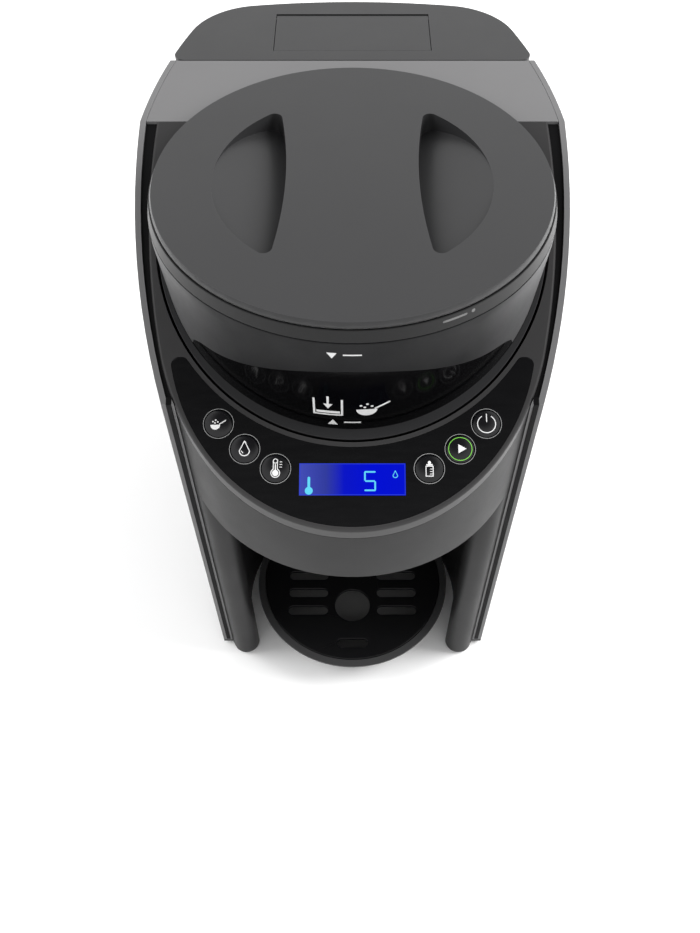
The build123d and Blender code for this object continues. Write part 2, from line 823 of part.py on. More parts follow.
with BuildPart() as tact_switches:
    with BuildSketch(deck_plane.offset(-board_depth)):
        with Locations(*button_spots.values()):
            Rectangle(switch_size, switch_size)
    extrude(amount=switch_height)
tact_switches.part.label = "tact_switches"
export_step(tact_switches.part, "parts/tact_switches.step")

with BuildPart() as board_screws:
    with BuildSketch(deck_plane.offset(-board_depth - board_thickness)):
        with Locations(*boss_spots):
            Circle(2 * board_screw_radius)
    extrude(amount=-board_screw_radius)
    with BuildSketch(deck_plane.offset(-board_depth - board_thickness)):
        with Locations(*boss_spots):
            Circle(board_screw_radius)
    extrude(amount=board_screw_length)
board_screws.part.label = "board_screws"
export_step(board_screws.part, "parts/board_screws.step")

for name, spot in button_spots.items():
    centre = deck_plane.from_local_coords(Vector(*spot, 0))
    section = Plane(origin=centre, x_dir=(1, 0, 0), z_dir=(0, -slope_cos, -slope_sin))
    flange_top = -deck_thickness - body_gap
    flange_bottom = flange_top - button_flange_thickness
    with BuildPart() as button:
        with BuildSketch(section):
            with BuildLine():
                ThreePointArc(
                    (0, button_dome), (button_radius / 2, 0.75 * button_dome), (button_radius, 0))
                Polyline(
                    (button_radius, 0), (button_radius, flange_top), (button_flange_radius, flange_top),
                    (button_flange_radius, flange_bottom), (button_stem_radius, flange_bottom),
                    (button_stem_radius, -button_stem_end), (0, -button_stem_end), (0, button_dome))
            make_face()
        revolve(axis=Axis(centre, deck_plane.z_dir))
    button.part.label = name
    export_step(button.part, "parts/" + name + ".step")

# ---- Well that holds the powder drum ----
with BuildPart() as container_well:
    with BuildSketch(Plane.XY.offset(well_bottom_z)):
        with Locations((0, drum_y)):
            Circle(well_radius + well_wall)
    extrude(amount=height)
    extrude(plate_profile, amount=far, both=True, mode=Mode.INTERSECT)
    with BuildSketch(Plane.XY.offset(well_floor_z)):
        with Locations((0, drum_y)):
            Circle(well_radius)
    extrude(amount=height, mode=Mode.SUBTRACT)
    with BuildSketch(Plane.XY.offset(niche_height - chute_end)):
        with Locations((0, outlet_y)):
            Circle(chute_inner_radius + chute_wall)
    extrude(amount=well_floor_z - well_floor_thickness / 2 - niche_height + chute_end)
    with BuildSketch(Plane.XY.offset(niche_height - chute_end)):
        with Locations((0, outlet_y)):
            Circle(chute_inner_radius)
        with Locations((0, drum_y)):
            Circle(shaft_radius + running_gap)
    extrude(amount=well_floor_z - niche_height + chute_end, mode=Mode.SUBTRACT)
container_well.part.label = "container_well"
export_step(container_well.part, "parts/container_well.step")

# ---- Powder drum ----
rim_z = height - rim_drop
hollow_corners = (
    (0, drum_wall_z), (drum_radius - drum_wall, drum_wall_z), (neck_inner_radius, rim_z),
    (neck_inner_radius, neck_top_z), (0, neck_top_z))
with BuildPart() as drum_hollow:
    with BuildSketch(drum_section):
        with BuildLine():
            Polyline(*hollow_corners, close=True)
        make_face()
    revolve(axis=drum_axis)

with BuildSketch() as ledge_plan:
    with Locations((0, drum_y)):
        Circle(ledge_radius)

ledge_slab = deck_slab(ledge_plan.sketch, body_gap, body_gap + ledge_thickness)
with BuildPart() as ledge:
    add(ledge_slab)
    with BuildSketch(Plane.XY.offset(height - ledge_end_drop)):
        Rectangle(4 * width, 4 * depth)
    extrude(amount=far, mode=Mode.SUBTRACT)
with BuildPart() as powder_container:
    with BuildSketch(drum_section):
        with BuildLine():
            Polyline(
                (0, drum_wall_z), (drum_radius, drum_wall_z), (drum_rim_radius, rim_z),
                (drum_rim_radius, collar_z - body_gap), (neck_radius, collar_z - body_gap),
                (neck_radius, neck_top_z), (0, neck_top_z), close=True)
        make_face()
    revolve(axis=drum_axis)
    add(ledge.part)
    add(drum_hollow.part, mode=Mode.SUBTRACT)
powder_container.part.label = "powder_container"
export_step(powder_container.part, "parts/powder_container.step")

with BuildPart() as container_base:
    with BuildSketch(Plane.XY.offset(drum_base_z)):
        with Locations((0, drum_y)):
            Circle(drum_radius)
            Circle(hub_hole_radius, mode=Mode.SUBTRACT)
        with Locations((0, outlet_y)):
            Circle(outlet_radius, mode=Mode.SUBTRACT)
    extrude(amount=drum_base_thickness)
container_base.part.label = "container_base"
export_step(container_base.part, "parts/container_base.step")

# ---- Powder wheel, scraper and stirrer ----
with BuildPart() as powder_wheel:
    with BuildSketch(Plane.XY.offset(wheel_z)):
        with Locations((0, drum_y)):
            Circle(wheel_radius)
            with PolarLocations(outlet_offset, pocket_count, start_angle=-90):
                Circle(pocket_radius, mode=Mode.SUBTRACT)
    extrude(amount=wheel_thickness)
    with BuildSketch(Plane.XY.offset(wheel_top_z)):
        with Locations((0, drum_y)):
            Circle(hub_radius)
    extrude(amount=hub_height)
    with BuildSketch(Plane.XY.offset(wheel_z)):
        with Locations((0, drum_y)):
            RegularPolygon(hex_apothem + body_gap, 6, major_radius=False)
    extrude(amount=drum_base_z + hex_height - wheel_z + 1, mode=Mode.SUBTRACT)
powder_wheel.part.label = "powder_wheel"
export_step(powder_wheel.part, "parts/powder_wheel.step")

with BuildPart() as scraper:
    with BuildSketch(Plane.XY.offset(wheel_top_z + body_gap)):
        with Locations((0, drum_y - scraper_inner_reach)):
            Rectangle(2 * scraper_half_width, drum_radius, align=(Align.CENTER, Align.MAX))
    extrude(amount=scraper_thickness)
    add(drum_hollow.part, mode=Mode.INTERSECT)
scraper.part.label = "scraper"
export_step(scraper.part, "parts/scraper.step")

with BuildPart() as stirrer:
    with BuildSketch(Plane.XY.offset(hub_top_z + stirrer_lift)):
        with Locations((0, drum_y)):
            with PolarLocations(stirrer_reach / 2, arm_count, start_angle=arm_start_angle):
                SlotOverall(stirrer_reach, arm_width)
    extrude(amount=arm_thickness)
    with BuildSketch(Plane.XY.offset(hub_top_z)):
        with Locations((0, drum_y)):
            Circle(hub_radius)
    extrude(amount=stirrer_hub_height)
    with BuildSketch(Plane.XY.offset(hub_top_z + stirrer_lift + arm_thickness / 2)):
        with Locations((0, drum_y)):
            with PolarLocations(finger_reach, arm_count, start_angle=arm_start_angle):
                Circle(finger_radius)
    extrude(amount=finger_height)
stirrer.part.label = "stirrer"
export_step(stirrer.part, "parts/stirrer.step")

# ---- Drum lid, its collar and gasket ----
with BuildSketch() as scoop_plan:
    with BuildLine():
        scoop_end_y = sqrt(scoop_radius**2 - bar_half_width**2)
        ThreePointArc((bar_half_width, scoop_end_y), (bar_waist, 0), (bar_half_width, -scoop_end_y))
        ThreePointArc((bar_half_width, -scoop_end_y), (scoop_radius, 0), (bar_half_width, scoop_end_y))
    make_face()
    fillet(scoop_plan.vertices(), scoop_corner)

with BuildPart() as scoop_cut:
    with BuildSketch(Plane.XY.offset(height - scoop_depth)):
        with Locations((0, drum_y)):
            add(scoop_plan.sketch)
    extrude(amount=scoop_depth + 1)
    with BuildSketch(drum_section):
        with BuildLine():
            Polyline(
                (scoop_radius, height), (bar_waist, height - scoop_depth), (bar_waist, height + 2),
                (scoop_radius, height + 2), close=True)
        make_face()
    extrude(amount=far, both=True, mode=Mode.INTERSECT)
    mirror(about=Plane.YZ)

with BuildPart() as scoop_pan:
    with BuildSketch(Plane.XY.offset(height - scoop_depth - scoop_wall)):
        with Locations((0, drum_y)):
            add(scoop_plan.sketch)
        offset(amount=scoop_wall)
    extrude(amount=scoop_depth + scoop_wall - lid_thickness / 2)
    with BuildSketch(drum_section):
        with BuildLine():
            Polyline(
                (scoop_radius + scoop_wall, height - lid_thickness / 2),
                (scoop_radius + scoop_wall, height - scoop_wall), (scoop_radius, height - scoop_wall),
                (bar_waist, height - scoop_depth - scoop_wall), (0, height - scoop_depth - scoop_wall),
                (0, height - lid_thickness / 2), close=True)
        make_face()
    extrude(amount=far, both=True, mode=Mode.INTERSECT)
    mirror(about=Plane.YZ)

with BuildPart() as container_lid:
    with BuildSketch(drum_section):
        with BuildLine():
            Polyline(
                (0, height), (lid_flat_radius, height), (lid_radius, height - lid_bevel),
                (lid_radius, lid_z),
                (lid_plug_radius, lid_z), (lid_plug_radius, lid_z - lid_plug_depth),
                (lid_plug_radius - lid_plug_wall, lid_z - lid_plug_depth),
                (lid_plug_radius - lid_plug_wall, lid_z),
                (0, lid_z), close=True)
        make_face()
    revolve(axis=drum_axis)
    add(scoop_pan.part)
    add(scoop_cut.part, mode=Mode.SUBTRACT)
container_lid.part.label = "container_lid"
export_step(container_lid.part, "parts/container_lid.step")

with BuildPart() as lid_collar:
    with BuildSketch(drum_section):
        with BuildLine():
            Polyline(
                (neck_radius + body_gap, collar_z), (drum_rim_radius, collar_z),
                (collar_top_radius, collar_top_z), (neck_radius + body_gap, collar_top_z), close=True)
        make_face()
    revolve(axis=drum_axis)
lid_collar.part.label = "lid_collar"
export_step(lid_collar.part, "parts/lid_collar.step")

with BuildPart() as lid_gasket:
    with BuildSketch(Plane.XY.offset(neck_top_z + body_gap)):
        with Locations((0, drum_y)):
            Circle(neck_radius)
            Circle(lid_plug_radius + body_gap, mode=Mode.SUBTRACT)
    extrude(amount=lid_z - neck_top_z - 2 * body_gap)
lid_gasket.part.label = "lid_gasket"
export_step(lid_gasket.part, "parts/lid_gasket.step")


# ---- Drive under the well ----
def gear_plan(teeth, centre_y, first_tooth):
    """Spur gear seen from above, with straight-sided teeth and its first tooth at an angle."""
    pitch_radius = gear_module * teeth / 2
    half_pitch = (gear_module * 3.1416 / 2 - tooth_backlash) / 2
    root = pitch_radius - 1.25 * gear_module
    tip = pitch_radius + gear_module
    root_half = half_pitch + 1.25 * gear_module * pressure_slope
    tip_half = half_pitch - gear_module * pressure_slope
    inner = root - gear_module / 2
    with BuildSketch(Plane.XY.offset(gear_z)) as face:
        with Locations((0, centre_y)):
            Circle(root)
            with PolarLocations(0, teeth, start_angle=first_tooth):
                Polygon(
                    (inner, root_half), (root, root_half), (tip, tip_half), (tip, -tip_half),
                    (root, -root_half),
                    (inner, -root_half), align=None)
    return face.sketch


drive_plan = gear_plan(drive_teeth, drum_y, 90)
idler_plan = gear_plan(idler_teeth, idler_y, 180 / idler_teeth)
pinion_plan = gear_plan(pinion_teeth, pinion_y, 270)


with BuildPart() as drive_gear:
    with BuildSketch(Plane.XY.offset(gear_z)):
        add(drive_plan)
        with Locations((0, drum_y)):
            Circle(shaft_radius + running_gap, mode=Mode.SUBTRACT)
    extrude(amount=gear_thickness)
drive_gear.part.label = "drive_gear"
export_step(drive_gear.part, "parts/drive_gear.step")

with BuildPart() as idler_gear:
    with BuildSketch(Plane.XY.offset(gear_z)):
        add(idler_plan)
        with Locations((0, idler_y)):
            Circle(idler_pin_radius + running_gap, mode=Mode.SUBTRACT)
    extrude(amount=gear_thickness)
idler_gear.part.label = "idler_gear"
export_step(idler_gear.part, "parts/idler_gear.step")

with BuildPart() as idler_pin:
    with BuildSketch(Plane.XY.offset(bracket_top_z)):
        with Locations((0, idler_y)):
            Circle(idler_pin_radius)
    extrude(amount=gear_z + gear_thickness + body_gap - bracket_top_z)
    with BuildSketch(Plane.XY.offset(gear_z + gear_thickness + body_gap)):
        with Locations((0, idler_y)):
            Circle(1.6 * idler_pin_radius)
    extrude(amount=1)
idler_pin.part.label = "idler_pin"
export_step(idler_pin.part, "parts/idler_pin.step")

motor_z = bracket_z - motor_length
shaft_end_z = bracket_z - motor_bore_depth + body_gap
with BuildPart() as motor_pinion:
    with BuildSketch(Plane.XY.offset(gear_z)):
        add(pinion_plan)
    extrude(amount=gear_thickness)
    with BuildSketch(Plane.XY.offset(shaft_end_z)):
        with Locations((0, pinion_y)):
            Circle(motor_shaft_radius)
    extrude(amount=gear_z + gear_thickness + 1 - shaft_end_z)
motor_pinion.part.label = "motor_pinion"
export_step(motor_pinion.part, "parts/motor_pinion.step")

with BuildPart() as mixing_motor:
    with BuildSketch(Plane.XY.offset(motor_z)):
        with Locations((0, pinion_y)):
            Circle(motor_radius)
    extrude(amount=motor_length)
    with BuildSketch(Plane.XY.offset(bracket_z)):
        with Locations((0, pinion_y)):
            Circle(motor_shaft_radius + running_gap)
    extrude(amount=-motor_bore_depth, mode=Mode.SUBTRACT)
mixing_motor.part.label = "mixing_motor"
export_step(mixing_motor.part, "parts/mixing_motor.step")

shaft_z = bracket_z + body_gap
with BuildPart() as drive_coupling:
    with BuildSketch(Plane.XY.offset(shaft_z)):
        with Locations((0, drum_y)):
            Circle(shaft_radius)
    extrude(amount=drum_base_z - shaft_z)
    with BuildSketch(Plane.XY.offset(drum_base_z)):
        with Locations((0, drum_y)):
            RegularPolygon(hex_apothem, 6, major_radius=False)
    extrude(amount=hex_height)
drive_coupling.part.label = "drive_coupling"
export_step(drive_coupling.part, "parts/drive_coupling.step")

with BuildPart() as gear_bracket:
    with BuildSketch(Plane.XY.offset(bracket_z)):
        with Locations((0, (drum_y - bracket_front + pinion_y + bracket_margin) / 2)):
            RectangleRounded(
                2 * bracket_half_width, pinion_y + bracket_margin - drum_y + bracket_front, bracket_corner)
        with Locations((0, drum_y)):
            Circle(shaft_radius + running_gap, mode=Mode.SUBTRACT)
        with Locations((0, pinion_y)):
            Circle(motor_shaft_radius + 1, mode=Mode.SUBTRACT)
    extrude(amount=bracket_thickness)
    with BuildSketch(Plane.XY.offset(bracket_top_z)):
        with Locations((post_x, drum_y), (-post_x, drum_y), (post_x, idler_y), (-post_x, idler_y)):
            Circle(post_radius)
    extrude(amount=well_bottom_z - bracket_top_z)
gear_bracket.part.label = "gear_bracket"
export_step(gear_bracket.part, "parts/gear_bracket.step")

# ---- Mixing funnel, its drawer and the water nozzle ----
with BuildPart() as mixing_funnel:
    with BuildSketch(outlet_section):
        with BuildLine():
            Polyline(
                (funnel_spout_radius - funnel_wall, cone_z - funnel_spout),
                (funnel_spout_radius, cone_z - funnel_spout),
                (funnel_spout_radius, cone_z), (funnel_radius - body_gap, holder_z),
                (funnel_radius - body_gap, holder_top_z), (funnel_radius + funnel_rim, holder_top_z),
                (funnel_radius + funnel_rim, funnel_top_z),
                (funnel_radius + funnel_rim - funnel_wall, funnel_top_z),
                (funnel_radius - body_gap - funnel_wall, holder_z + funnel_wall),
                (funnel_spout_radius - funnel_wall, cone_z + funnel_wall / 2), close=True)
        make_face()
    revolve(axis=outlet_axis)
mixing_funnel.part.label = "mixing_funnel"
export_step(mixing_funnel.part, "parts/mixing_funnel.step")

runner_z = holder_z + (holder_thickness - runner_thickness) / 2
with BuildPart() as funnel_holder:
    with BuildSketch(Plane.XY.offset(holder_z)):
        with Locations((0, outlet_y)):
            Rectangle(2 * holder_half_width, 2 * holder_half_length)
            Circle(funnel_radius, mode=Mode.SUBTRACT)
    extrude(amount=holder_thickness)
    with BuildSketch(Plane.XY.offset(runner_z)):
        with Locations((holder_half_width, outlet_y), (-holder_half_width, outlet_y)):
            Rectangle(2 * runner_width, 2 * holder_half_length)
    extrude(amount=runner_thickness)
    with BuildSketch(Plane.XY.offset(holder_top_z - grip_height)):
        with Locations((0, outlet_y - holder_half_length - grip_depth / 2)):
            RectangleRounded(2 * grip_half_width, grip_depth, grip_depth / 4)
    extrude(amount=grip_height)
    with BuildSketch(Plane.XY.offset(holder_z)):
        with Locations((0, outlet_y)):
            Circle(funnel_radius)
    extrude(amount=holder_thickness, mode=Mode.SUBTRACT)
funnel_holder.part.label = "funnel_holder"
export_step(funnel_holder.part, "parts/funnel_holder.step")

rail_inner_x = holder_half_width + body_gap
rail_x = rail_inner_x + rail_width / 2
rail_z = runner_z - body_gap - rail_foot
with BuildPart() as funnel_rails:
    with BuildSketch(Plane.XY.offset(rail_z)):
        with Locations((rail_x, outlet_y), (-rail_x, outlet_y)):
            Rectangle(rail_width, rail_length)
    extrude(amount=niche_height - rail_z)
    with BuildSketch(Plane.XY.offset(runner_z - body_gap)):
        with Locations((0, outlet_y)):
            Rectangle(2 * (holder_half_width + runner_width + body_gap), rail_length)
    extrude(amount=runner_thickness + 2 * body_gap, mode=Mode.SUBTRACT)
funnel_rails.part.label = "funnel_rails"
export_step(funnel_rails.part, "parts/funnel_rails.step")

nozzle_z = ceiling_z + nozzle_block / 2 + body_gap
with BuildPart() as water_nozzle:
    with BuildSketch(Plane.XY.offset(ceiling_z)):
        with Locations((nozzle_x, outlet_y)):
            Rectangle(nozzle_block, nozzle_block)
    extrude(amount=nozzle_block)
    with BuildSketch(Plane.XY.offset(ceiling_z)):
        with Locations((nozzle_x, outlet_y)):
            Circle(nozzle_radius)
    extrude(amount=-(ceiling_thickness + nozzle_end))
    with BuildSketch(Plane.YZ.offset(nozzle_x)):
        with Locations((outlet_y, nozzle_z)):
            Circle(barb_radius)
    extrude(amount=-nozzle_inlet_reach)
    with BuildSketch(Plane.XY.offset(niche_height - nozzle_end)):
        with Locations((nozzle_x, outlet_y)):
            Circle(nozzle_bore)
    extrude(amount=nozzle_z - niche_height + nozzle_end, mode=Mode.SUBTRACT)
    with BuildSketch(Plane.YZ.offset(nozzle_x)):
        with Locations((outlet_y, nozzle_z)):
            Circle(barb_bore)
    extrude(amount=-nozzle_inlet_reach, mode=Mode.SUBTRACT)
water_nozzle.part.label = "water_nozzle"
export_step(water_nozzle.part, "parts/water_nozzle.step")

# ---- Bottle stand ----
rim_inner_radius = stand_radius - stand_rim
ledge_inner_radius = rim_inner_radius - grille_ledge
floor_top_z = stand_bottom_z + stand_wall
with BuildPart() as bottle_stand:
    with BuildSketch(outlet_section):
        with BuildLine():
            Polyline(
                (0, stand_bottom_z), (stand_foot_radius, stand_bottom_z),
                (stand_radius, stand_top - stand_band),
                (stand_radius, stand_top), (rim_inner_radius, stand_top), (rim_inner_radius, grille_seat_z),
                (ledge_inner_radius, grille_seat_z), (stand_foot_radius - stand_wall, floor_top_z),
                (0, floor_top_z),
                close=True)
        make_face()
    revolve(axis=outlet_axis)
    fillet(bottle_stand.edges().filter_by(GeomType.CIRCLE).group_by(Axis.Z)[0], stand_foot_fillet)
    with BuildSketch(Plane.XY.offset(tongue_z)):
        with Locations((0, slider_y)):
            Rectangle(2 * tongue_half_width, slider_y - outlet_y, align=(Align.CENTER, Align.MAX))
        with Locations((0, outlet_y)):
            Circle(rim_inner_radius, mode=Mode.SUBTRACT)
    extrude(amount=tongue_height)
bottle_stand.part.label = "bottle_stand"
export_step(bottle_stand.part, "parts/bottle_stand.step")

with BuildPart() as stand_slider:
    with BuildSketch(Plane.XY.offset(slider_z)):
        with Locations((0, slider_y)):
            Rectangle(2 * slider_half_width, slider_thickness, align=(Align.CENTER, Align.MIN))
    extrude(amount=slider_height)
stand_slider.part.label = "stand_slider"
export_step(stand_slider.part, "parts/stand_slider.step")

track_front_y = outlet_y + niche_radius + housing_wall + body_gap
track_back_y = slider_y + slider_thickness + body_gap
track_inner_x = slider_half_width + body_gap
with BuildPart() as stand_track:
    with BuildSketch(Plane.XY.offset(floor_z)):
        with Locations((0, track_front_y)):
            Rectangle(
                2 * (track_inner_x + track_wall), track_back_y + track_wall - track_front_y,
                align=(Align.CENTER, Align.MIN))
            Rectangle(
                2 * slot_half_width, track_back_y - track_front_y, align=(Align.CENTER, Align.MIN),
                mode=Mode.SUBTRACT)
        with Locations((0, track_front_y + track_wall)):
            Rectangle(
                2 * track_inner_x, track_back_y - track_front_y - track_wall,
                align=(Align.CENTER, Align.MIN),
                mode=Mode.SUBTRACT)
    extrude(amount=slider_z + slider_height + stand_travel + track_end - floor_z)
stand_track.part.label = "stand_track"
export_step(stand_track.part, "parts/stand_track.step")

with BuildPart() as stand_grille:
    with BuildSketch(Plane.XY.offset(grille_seat_z + body_gap)):
        with Locations((0, outlet_y)):
            Circle(rim_inner_radius - body_gap)
        with Locations((0, outlet_y + slot_rows_back)):
            with GridLocations(2 * slot_x, slot_pitch, 2, slot_rows):
                SlotOverall(slot_length, slot_height, mode=Mode.SUBTRACT)
        with Locations((0, outlet_y - end_slot_back), (0, outlet_y + end_slot_back)):
            SlotOverall(end_slot_length, slot_height, mode=Mode.SUBTRACT)
        with Locations((0, outlet_y - finger_hole_forward)):
            Circle(finger_hole_radius, mode=Mode.SUBTRACT)
    extrude(amount=grille_thickness)
stand_grille.part.label = "stand_grille"
export_step(stand_grille.part, "parts/stand_grille.step")

# ---- Water tank, lid, flap and valve ----
with BuildSketch() as tank_plan:
    with Locations((0, tank_front_y)):
        Rectangle(2 * far, far, align=(Align.CENTER, Align.MIN))
    add(shell_plan, mode=Mode.INTERSECT)
    fillet(tank_plan.vertices().group_by(Axis.Y)[0], tank_corner_radius)

with BuildSketch() as tank_inside:
    with Locations((0, tank_front_y + tank_wall)):
        Rectangle(2 * far, far, align=(Align.CENTER, Align.MIN))
    add(tank_bore_plan, mode=Mode.INTERSECT)
    fillet(tank_inside.vertices().group_by(Axis.Y)[0], tank_corner_radius - tank_wall)

with BuildPart() as water_tank:
    with BuildSketch(Plane.XY.offset(tank_z)):
        add(tank_plan.sketch)
    extrude(amount=tank_top_z - tank_z)
    with BuildSketch(Plane.XY.offset(tank_z + tank_wall)):
        add(tank_inside.sketch)
    extrude(amount=height, mode=Mode.SUBTRACT)
    with BuildSketch(Plane.XY.offset(spout_z)):
        with Locations((0, valve_y)):
            Circle(spout_radius)
    extrude(amount=spout_length + tank_wall / 2)
    with BuildSketch(Plane.XY.offset(spout_z)):
        with Locations((0, valve_y)):
            Circle(spout_bore)
    extrude(amount=spout_length + 2 * tank_wall, mode=Mode.SUBTRACT)
water_tank.part.label = "water_tank"
export_step(water_tank.part, "parts/water_tank.step")

barrel_y = opening_y + fill_half_length - 2 * body_gap - flap_barrel_radius
barrel_z = deck_top_z - flap_barrel_radius
ledge_top_z = plate_z + fill_ledge_thickness
with BuildPart() as tank_lid:
    with BuildSketch(Plane.XY.offset(tank_top_z)):
        add(tank_plan.sketch)
        add(tank_inside.sketch, mode=Mode.SUBTRACT)
    extrude(amount=plate_z - tank_top_z)
    with BuildSketch(Plane.XY.offset(plate_z)):
        add(tank_plan.sketch)
    extrude(amount=tank_lid_plate)
    with BuildSketch(Plane.XY.offset(plate_z)):
        with Locations((0, opening_y + fill_ledge / 2)):
            Rectangle(2 * (fill_half_width - fill_ledge), 2 * fill_half_length - fill_ledge)
        with Locations((0, barrel_y - flap_barrel_radius - body_gap)):
            Rectangle(
                2 * fill_half_width, opening_y + fill_half_length - barrel_y + flap_barrel_radius + body_gap,
                align=(Align.CENTER, Align.MIN))
    extrude(amount=tank_lid_plate, mode=Mode.SUBTRACT)
    with BuildSketch(Plane.XY.offset(ledge_top_z)):
        with Locations((0, opening_y)):
            Rectangle(2 * fill_half_width, 2 * fill_half_length)
    extrude(amount=tank_lid_plate, mode=Mode.SUBTRACT)
    with BuildSketch(Plane.YZ):
        with Locations((barrel_y, barrel_z)):
            Circle(flap_pin_radius + running_gap)
    extrude(amount=fill_half_width + flap_pin_overhang + body_gap, both=True, mode=Mode.SUBTRACT)
tank_lid.part.label = "tank_lid"
export_step(tank_lid.part, "parts/tank_lid.step")

flap_half_width = fill_half_width - body_gap
flap_front_y = opening_y - fill_half_length + body_gap
with BuildPart() as fill_flap:
    with BuildSketch(Plane.YZ):
        with Locations(((flap_front_y + barrel_y) / 2, ledge_top_z + body_gap)):
            Rectangle(
                barrel_y - flap_front_y, deck_top_z - 0.1 - ledge_top_z - body_gap,
                align=(Align.CENTER, Align.MIN))
        with Locations((barrel_y, barrel_z)):
            Circle(flap_barrel_radius)
            Circle(flap_pin_radius + running_gap, mode=Mode.SUBTRACT)
    extrude(amount=flap_half_width, both=True)
fill_flap.part.label = "fill_flap"
export_step(fill_flap.part, "parts/fill_flap.step")

with BuildPart() as flap_pin:
    with BuildSketch(Plane.YZ):
        with Locations((barrel_y, barrel_z)):
            Circle(flap_pin_radius)
    extrude(amount=fill_half_width + flap_pin_overhang, both=True)
flap_pin.part.label = "flap_pin"
export_step(flap_pin.part, "parts/flap_pin.step")

valve_z = tank_z + tank_wall + body_gap
stem_z = spout_z + 1
with BuildPart() as tank_valve:
    with BuildSketch(Plane.XY.offset(stem_z)):
        with Locations((0, valve_y)):
            Circle(valve_stem_radius)
    extrude(amount=valve_z - stem_z)
    with BuildSketch(Plane.XY.offset(valve_z)):
        with Locations((0, valve_y)):
            Circle(valve_disc_radius)
    extrude(amount=valve_disc_thickness)
tank_valve.part.label = "tank_valve"
export_step(tank_valve.part, "parts/tank_valve.step")

# ---- Dock under and in front of the tank ----
shelf_z = dock_top_z - dock_wall
barb_x = (dock_pin_radius + socket_inner_radius) / 2
with BuildPart() as tank_dock:
    with BuildSketch(Plane.XY.offset(shelf_z)):
        with Locations((0, dock_front_y)):
            Rectangle(2 * far, far, align=(Align.CENTER, Align.MIN))
        add(shell_inside, mode=Mode.INTERSECT)
    extrude(amount=dock_wall)
    with BuildSketch(Plane.XY.offset(dock_top_z)):
        with Locations((0, dock_front_y)):
            Rectangle(2 * far, dock_wall, align=(Align.CENTER, Align.MIN))
        add(shell_inside, mode=Mode.INTERSECT)
    extrude(amount=deck_top_z - deck_thickness - dock_top_z)
    with BuildSketch(Plane.XY.offset(socket_z)):
        with Locations((0, valve_y)):
            Circle(socket_inner_radius + socket_wall)
    extrude(amount=socket_depth)
    with BuildSketch(Plane.XY.offset(socket_z + socket_wall)):
        with Locations((0, valve_y)):
            Circle(socket_inner_radius)
    extrude(amount=socket_depth + dock_wall, mode=Mode.SUBTRACT)
    with BuildSketch(Plane.XY.offset(socket_z + socket_wall)):
        with Locations((0, valve_y)):
            Circle(dock_pin_radius)
    extrude(amount=stem_z - body_gap - socket_z - socket_wall)
    with BuildSketch(Plane.XY.offset(socket_z)):
        with Locations((barb_x, valve_y)):
            Circle(barb_radius)
    extrude(amount=-barb_length)
    with BuildSketch(Plane.XY.offset(socket_z - barb_length)):
        with Locations((barb_x, valve_y)):
            Circle(barb_bore)
    extrude(amount=barb_length + socket_wall, mode=Mode.SUBTRACT)
tank_dock.part.label = "tank_dock"
export_step(tank_dock.part, "parts/tank_dock.step")

with BuildPart() as dock_seal:
    with BuildSketch(Plane.XY.offset(shelf_z - seal_thickness - 1)):
        with Locations((0, valve_y)):
            Circle(socket_inner_radius)
            Circle(spout_radius + body_gap, mode=Mode.SUBTRACT)
    extrude(amount=seal_thickness)
dock_seal.part.label = "dock_seal"
export_step(dock_seal.part, "parts/dock_seal.step")

# ---- Pump, heater and power board on the base ----
pump_y = rear_y - pump_inset
heater_y = drum_y + heater_back
pump_top_z = floor_z + pump_height
heater_top_z = floor_z + heater_height
with BuildPart() as water_pump:
    with BuildSketch(Plane.XY.offset(floor_z)):
        with Locations((pump_x, pump_y)):
            Circle(pump_radius)
    extrude(amount=pump_height)
    with BuildSketch(Plane.XY.offset(pump_top_z)):
        with Locations((pump_x, pump_y)):
            Circle(barb_radius)
    extrude(amount=barb_length)
    with BuildSketch(Plane.YZ.offset(pump_x)):
        with Locations((pump_y, pipe_height)):
            Circle(barb_radius)
    extrude(amount=-(pump_radius + barb_length))
water_pump.part.label = "water_pump"
export_step(water_pump.part, "parts/water_pump.step")

with BuildPart() as water_heater:
    with BuildSketch(Plane.XY.offset(floor_z)):
        with Locations((heater_x, heater_y)):
            Circle(heater_radius)
    extrude(amount=heater_height)
    with BuildSketch(Plane.XY.offset(heater_top_z)):
        with Locations((heater_x, heater_y)):
            Circle(barb_radius)
    extrude(amount=barb_length)
    with BuildSketch(Plane.YZ.offset(heater_x)):
        with Locations((heater_y, pipe_height)):
            Circle(barb_radius)
    extrude(amount=heater_radius + barb_length)
water_heater.part.label = "water_heater"
export_step(water_heater.part, "parts/water_heater.step")

board_y = dock_front_y - power_board_front
with BuildPart() as power_board:
    with BuildSketch(Plane.XY.offset(floor_z)):
        with Locations((power_board_x, board_y)):
            Rectangle(power_board_width, board_thickness)
    extrude(amount=power_board_height)
    with BuildSketch(Plane.XY.offset(floor_z + power_board_height / 4)):
        with Locations((power_board_x - power_board_width / 4, board_y)):
            Rectangle(transformer_width, transformer_depth, align=(Align.CENTER, Align.MAX))
        with Locations((power_board_x + power_board_width / 4, board_y - transformer_depth / 2)):
            Circle(transformer_depth / 2)
    extrude(amount=transformer_height)
power_board.part.label = "power_board"
export_step(power_board.part, "parts/power_board.step")


# ---- Hoses, pushed over the barbs ----
def hose(points):
    """Round hose through the points, with bends."""
    with BuildPart() as tube:
        with BuildLine():
            route = FilletPolyline(*points, radius=hose_bend)
        with BuildSketch(Plane(origin=route @ 0, z_dir=route % 0)):
            Circle(hose_radius)
        sweep(path=route)
        with BuildSketch(Plane(origin=route @ 0, z_dir=route % 0)):
            Circle(barb_radius + running_gap)
        sweep(path=route, mode=Mode.SUBTRACT)
    return tube.part


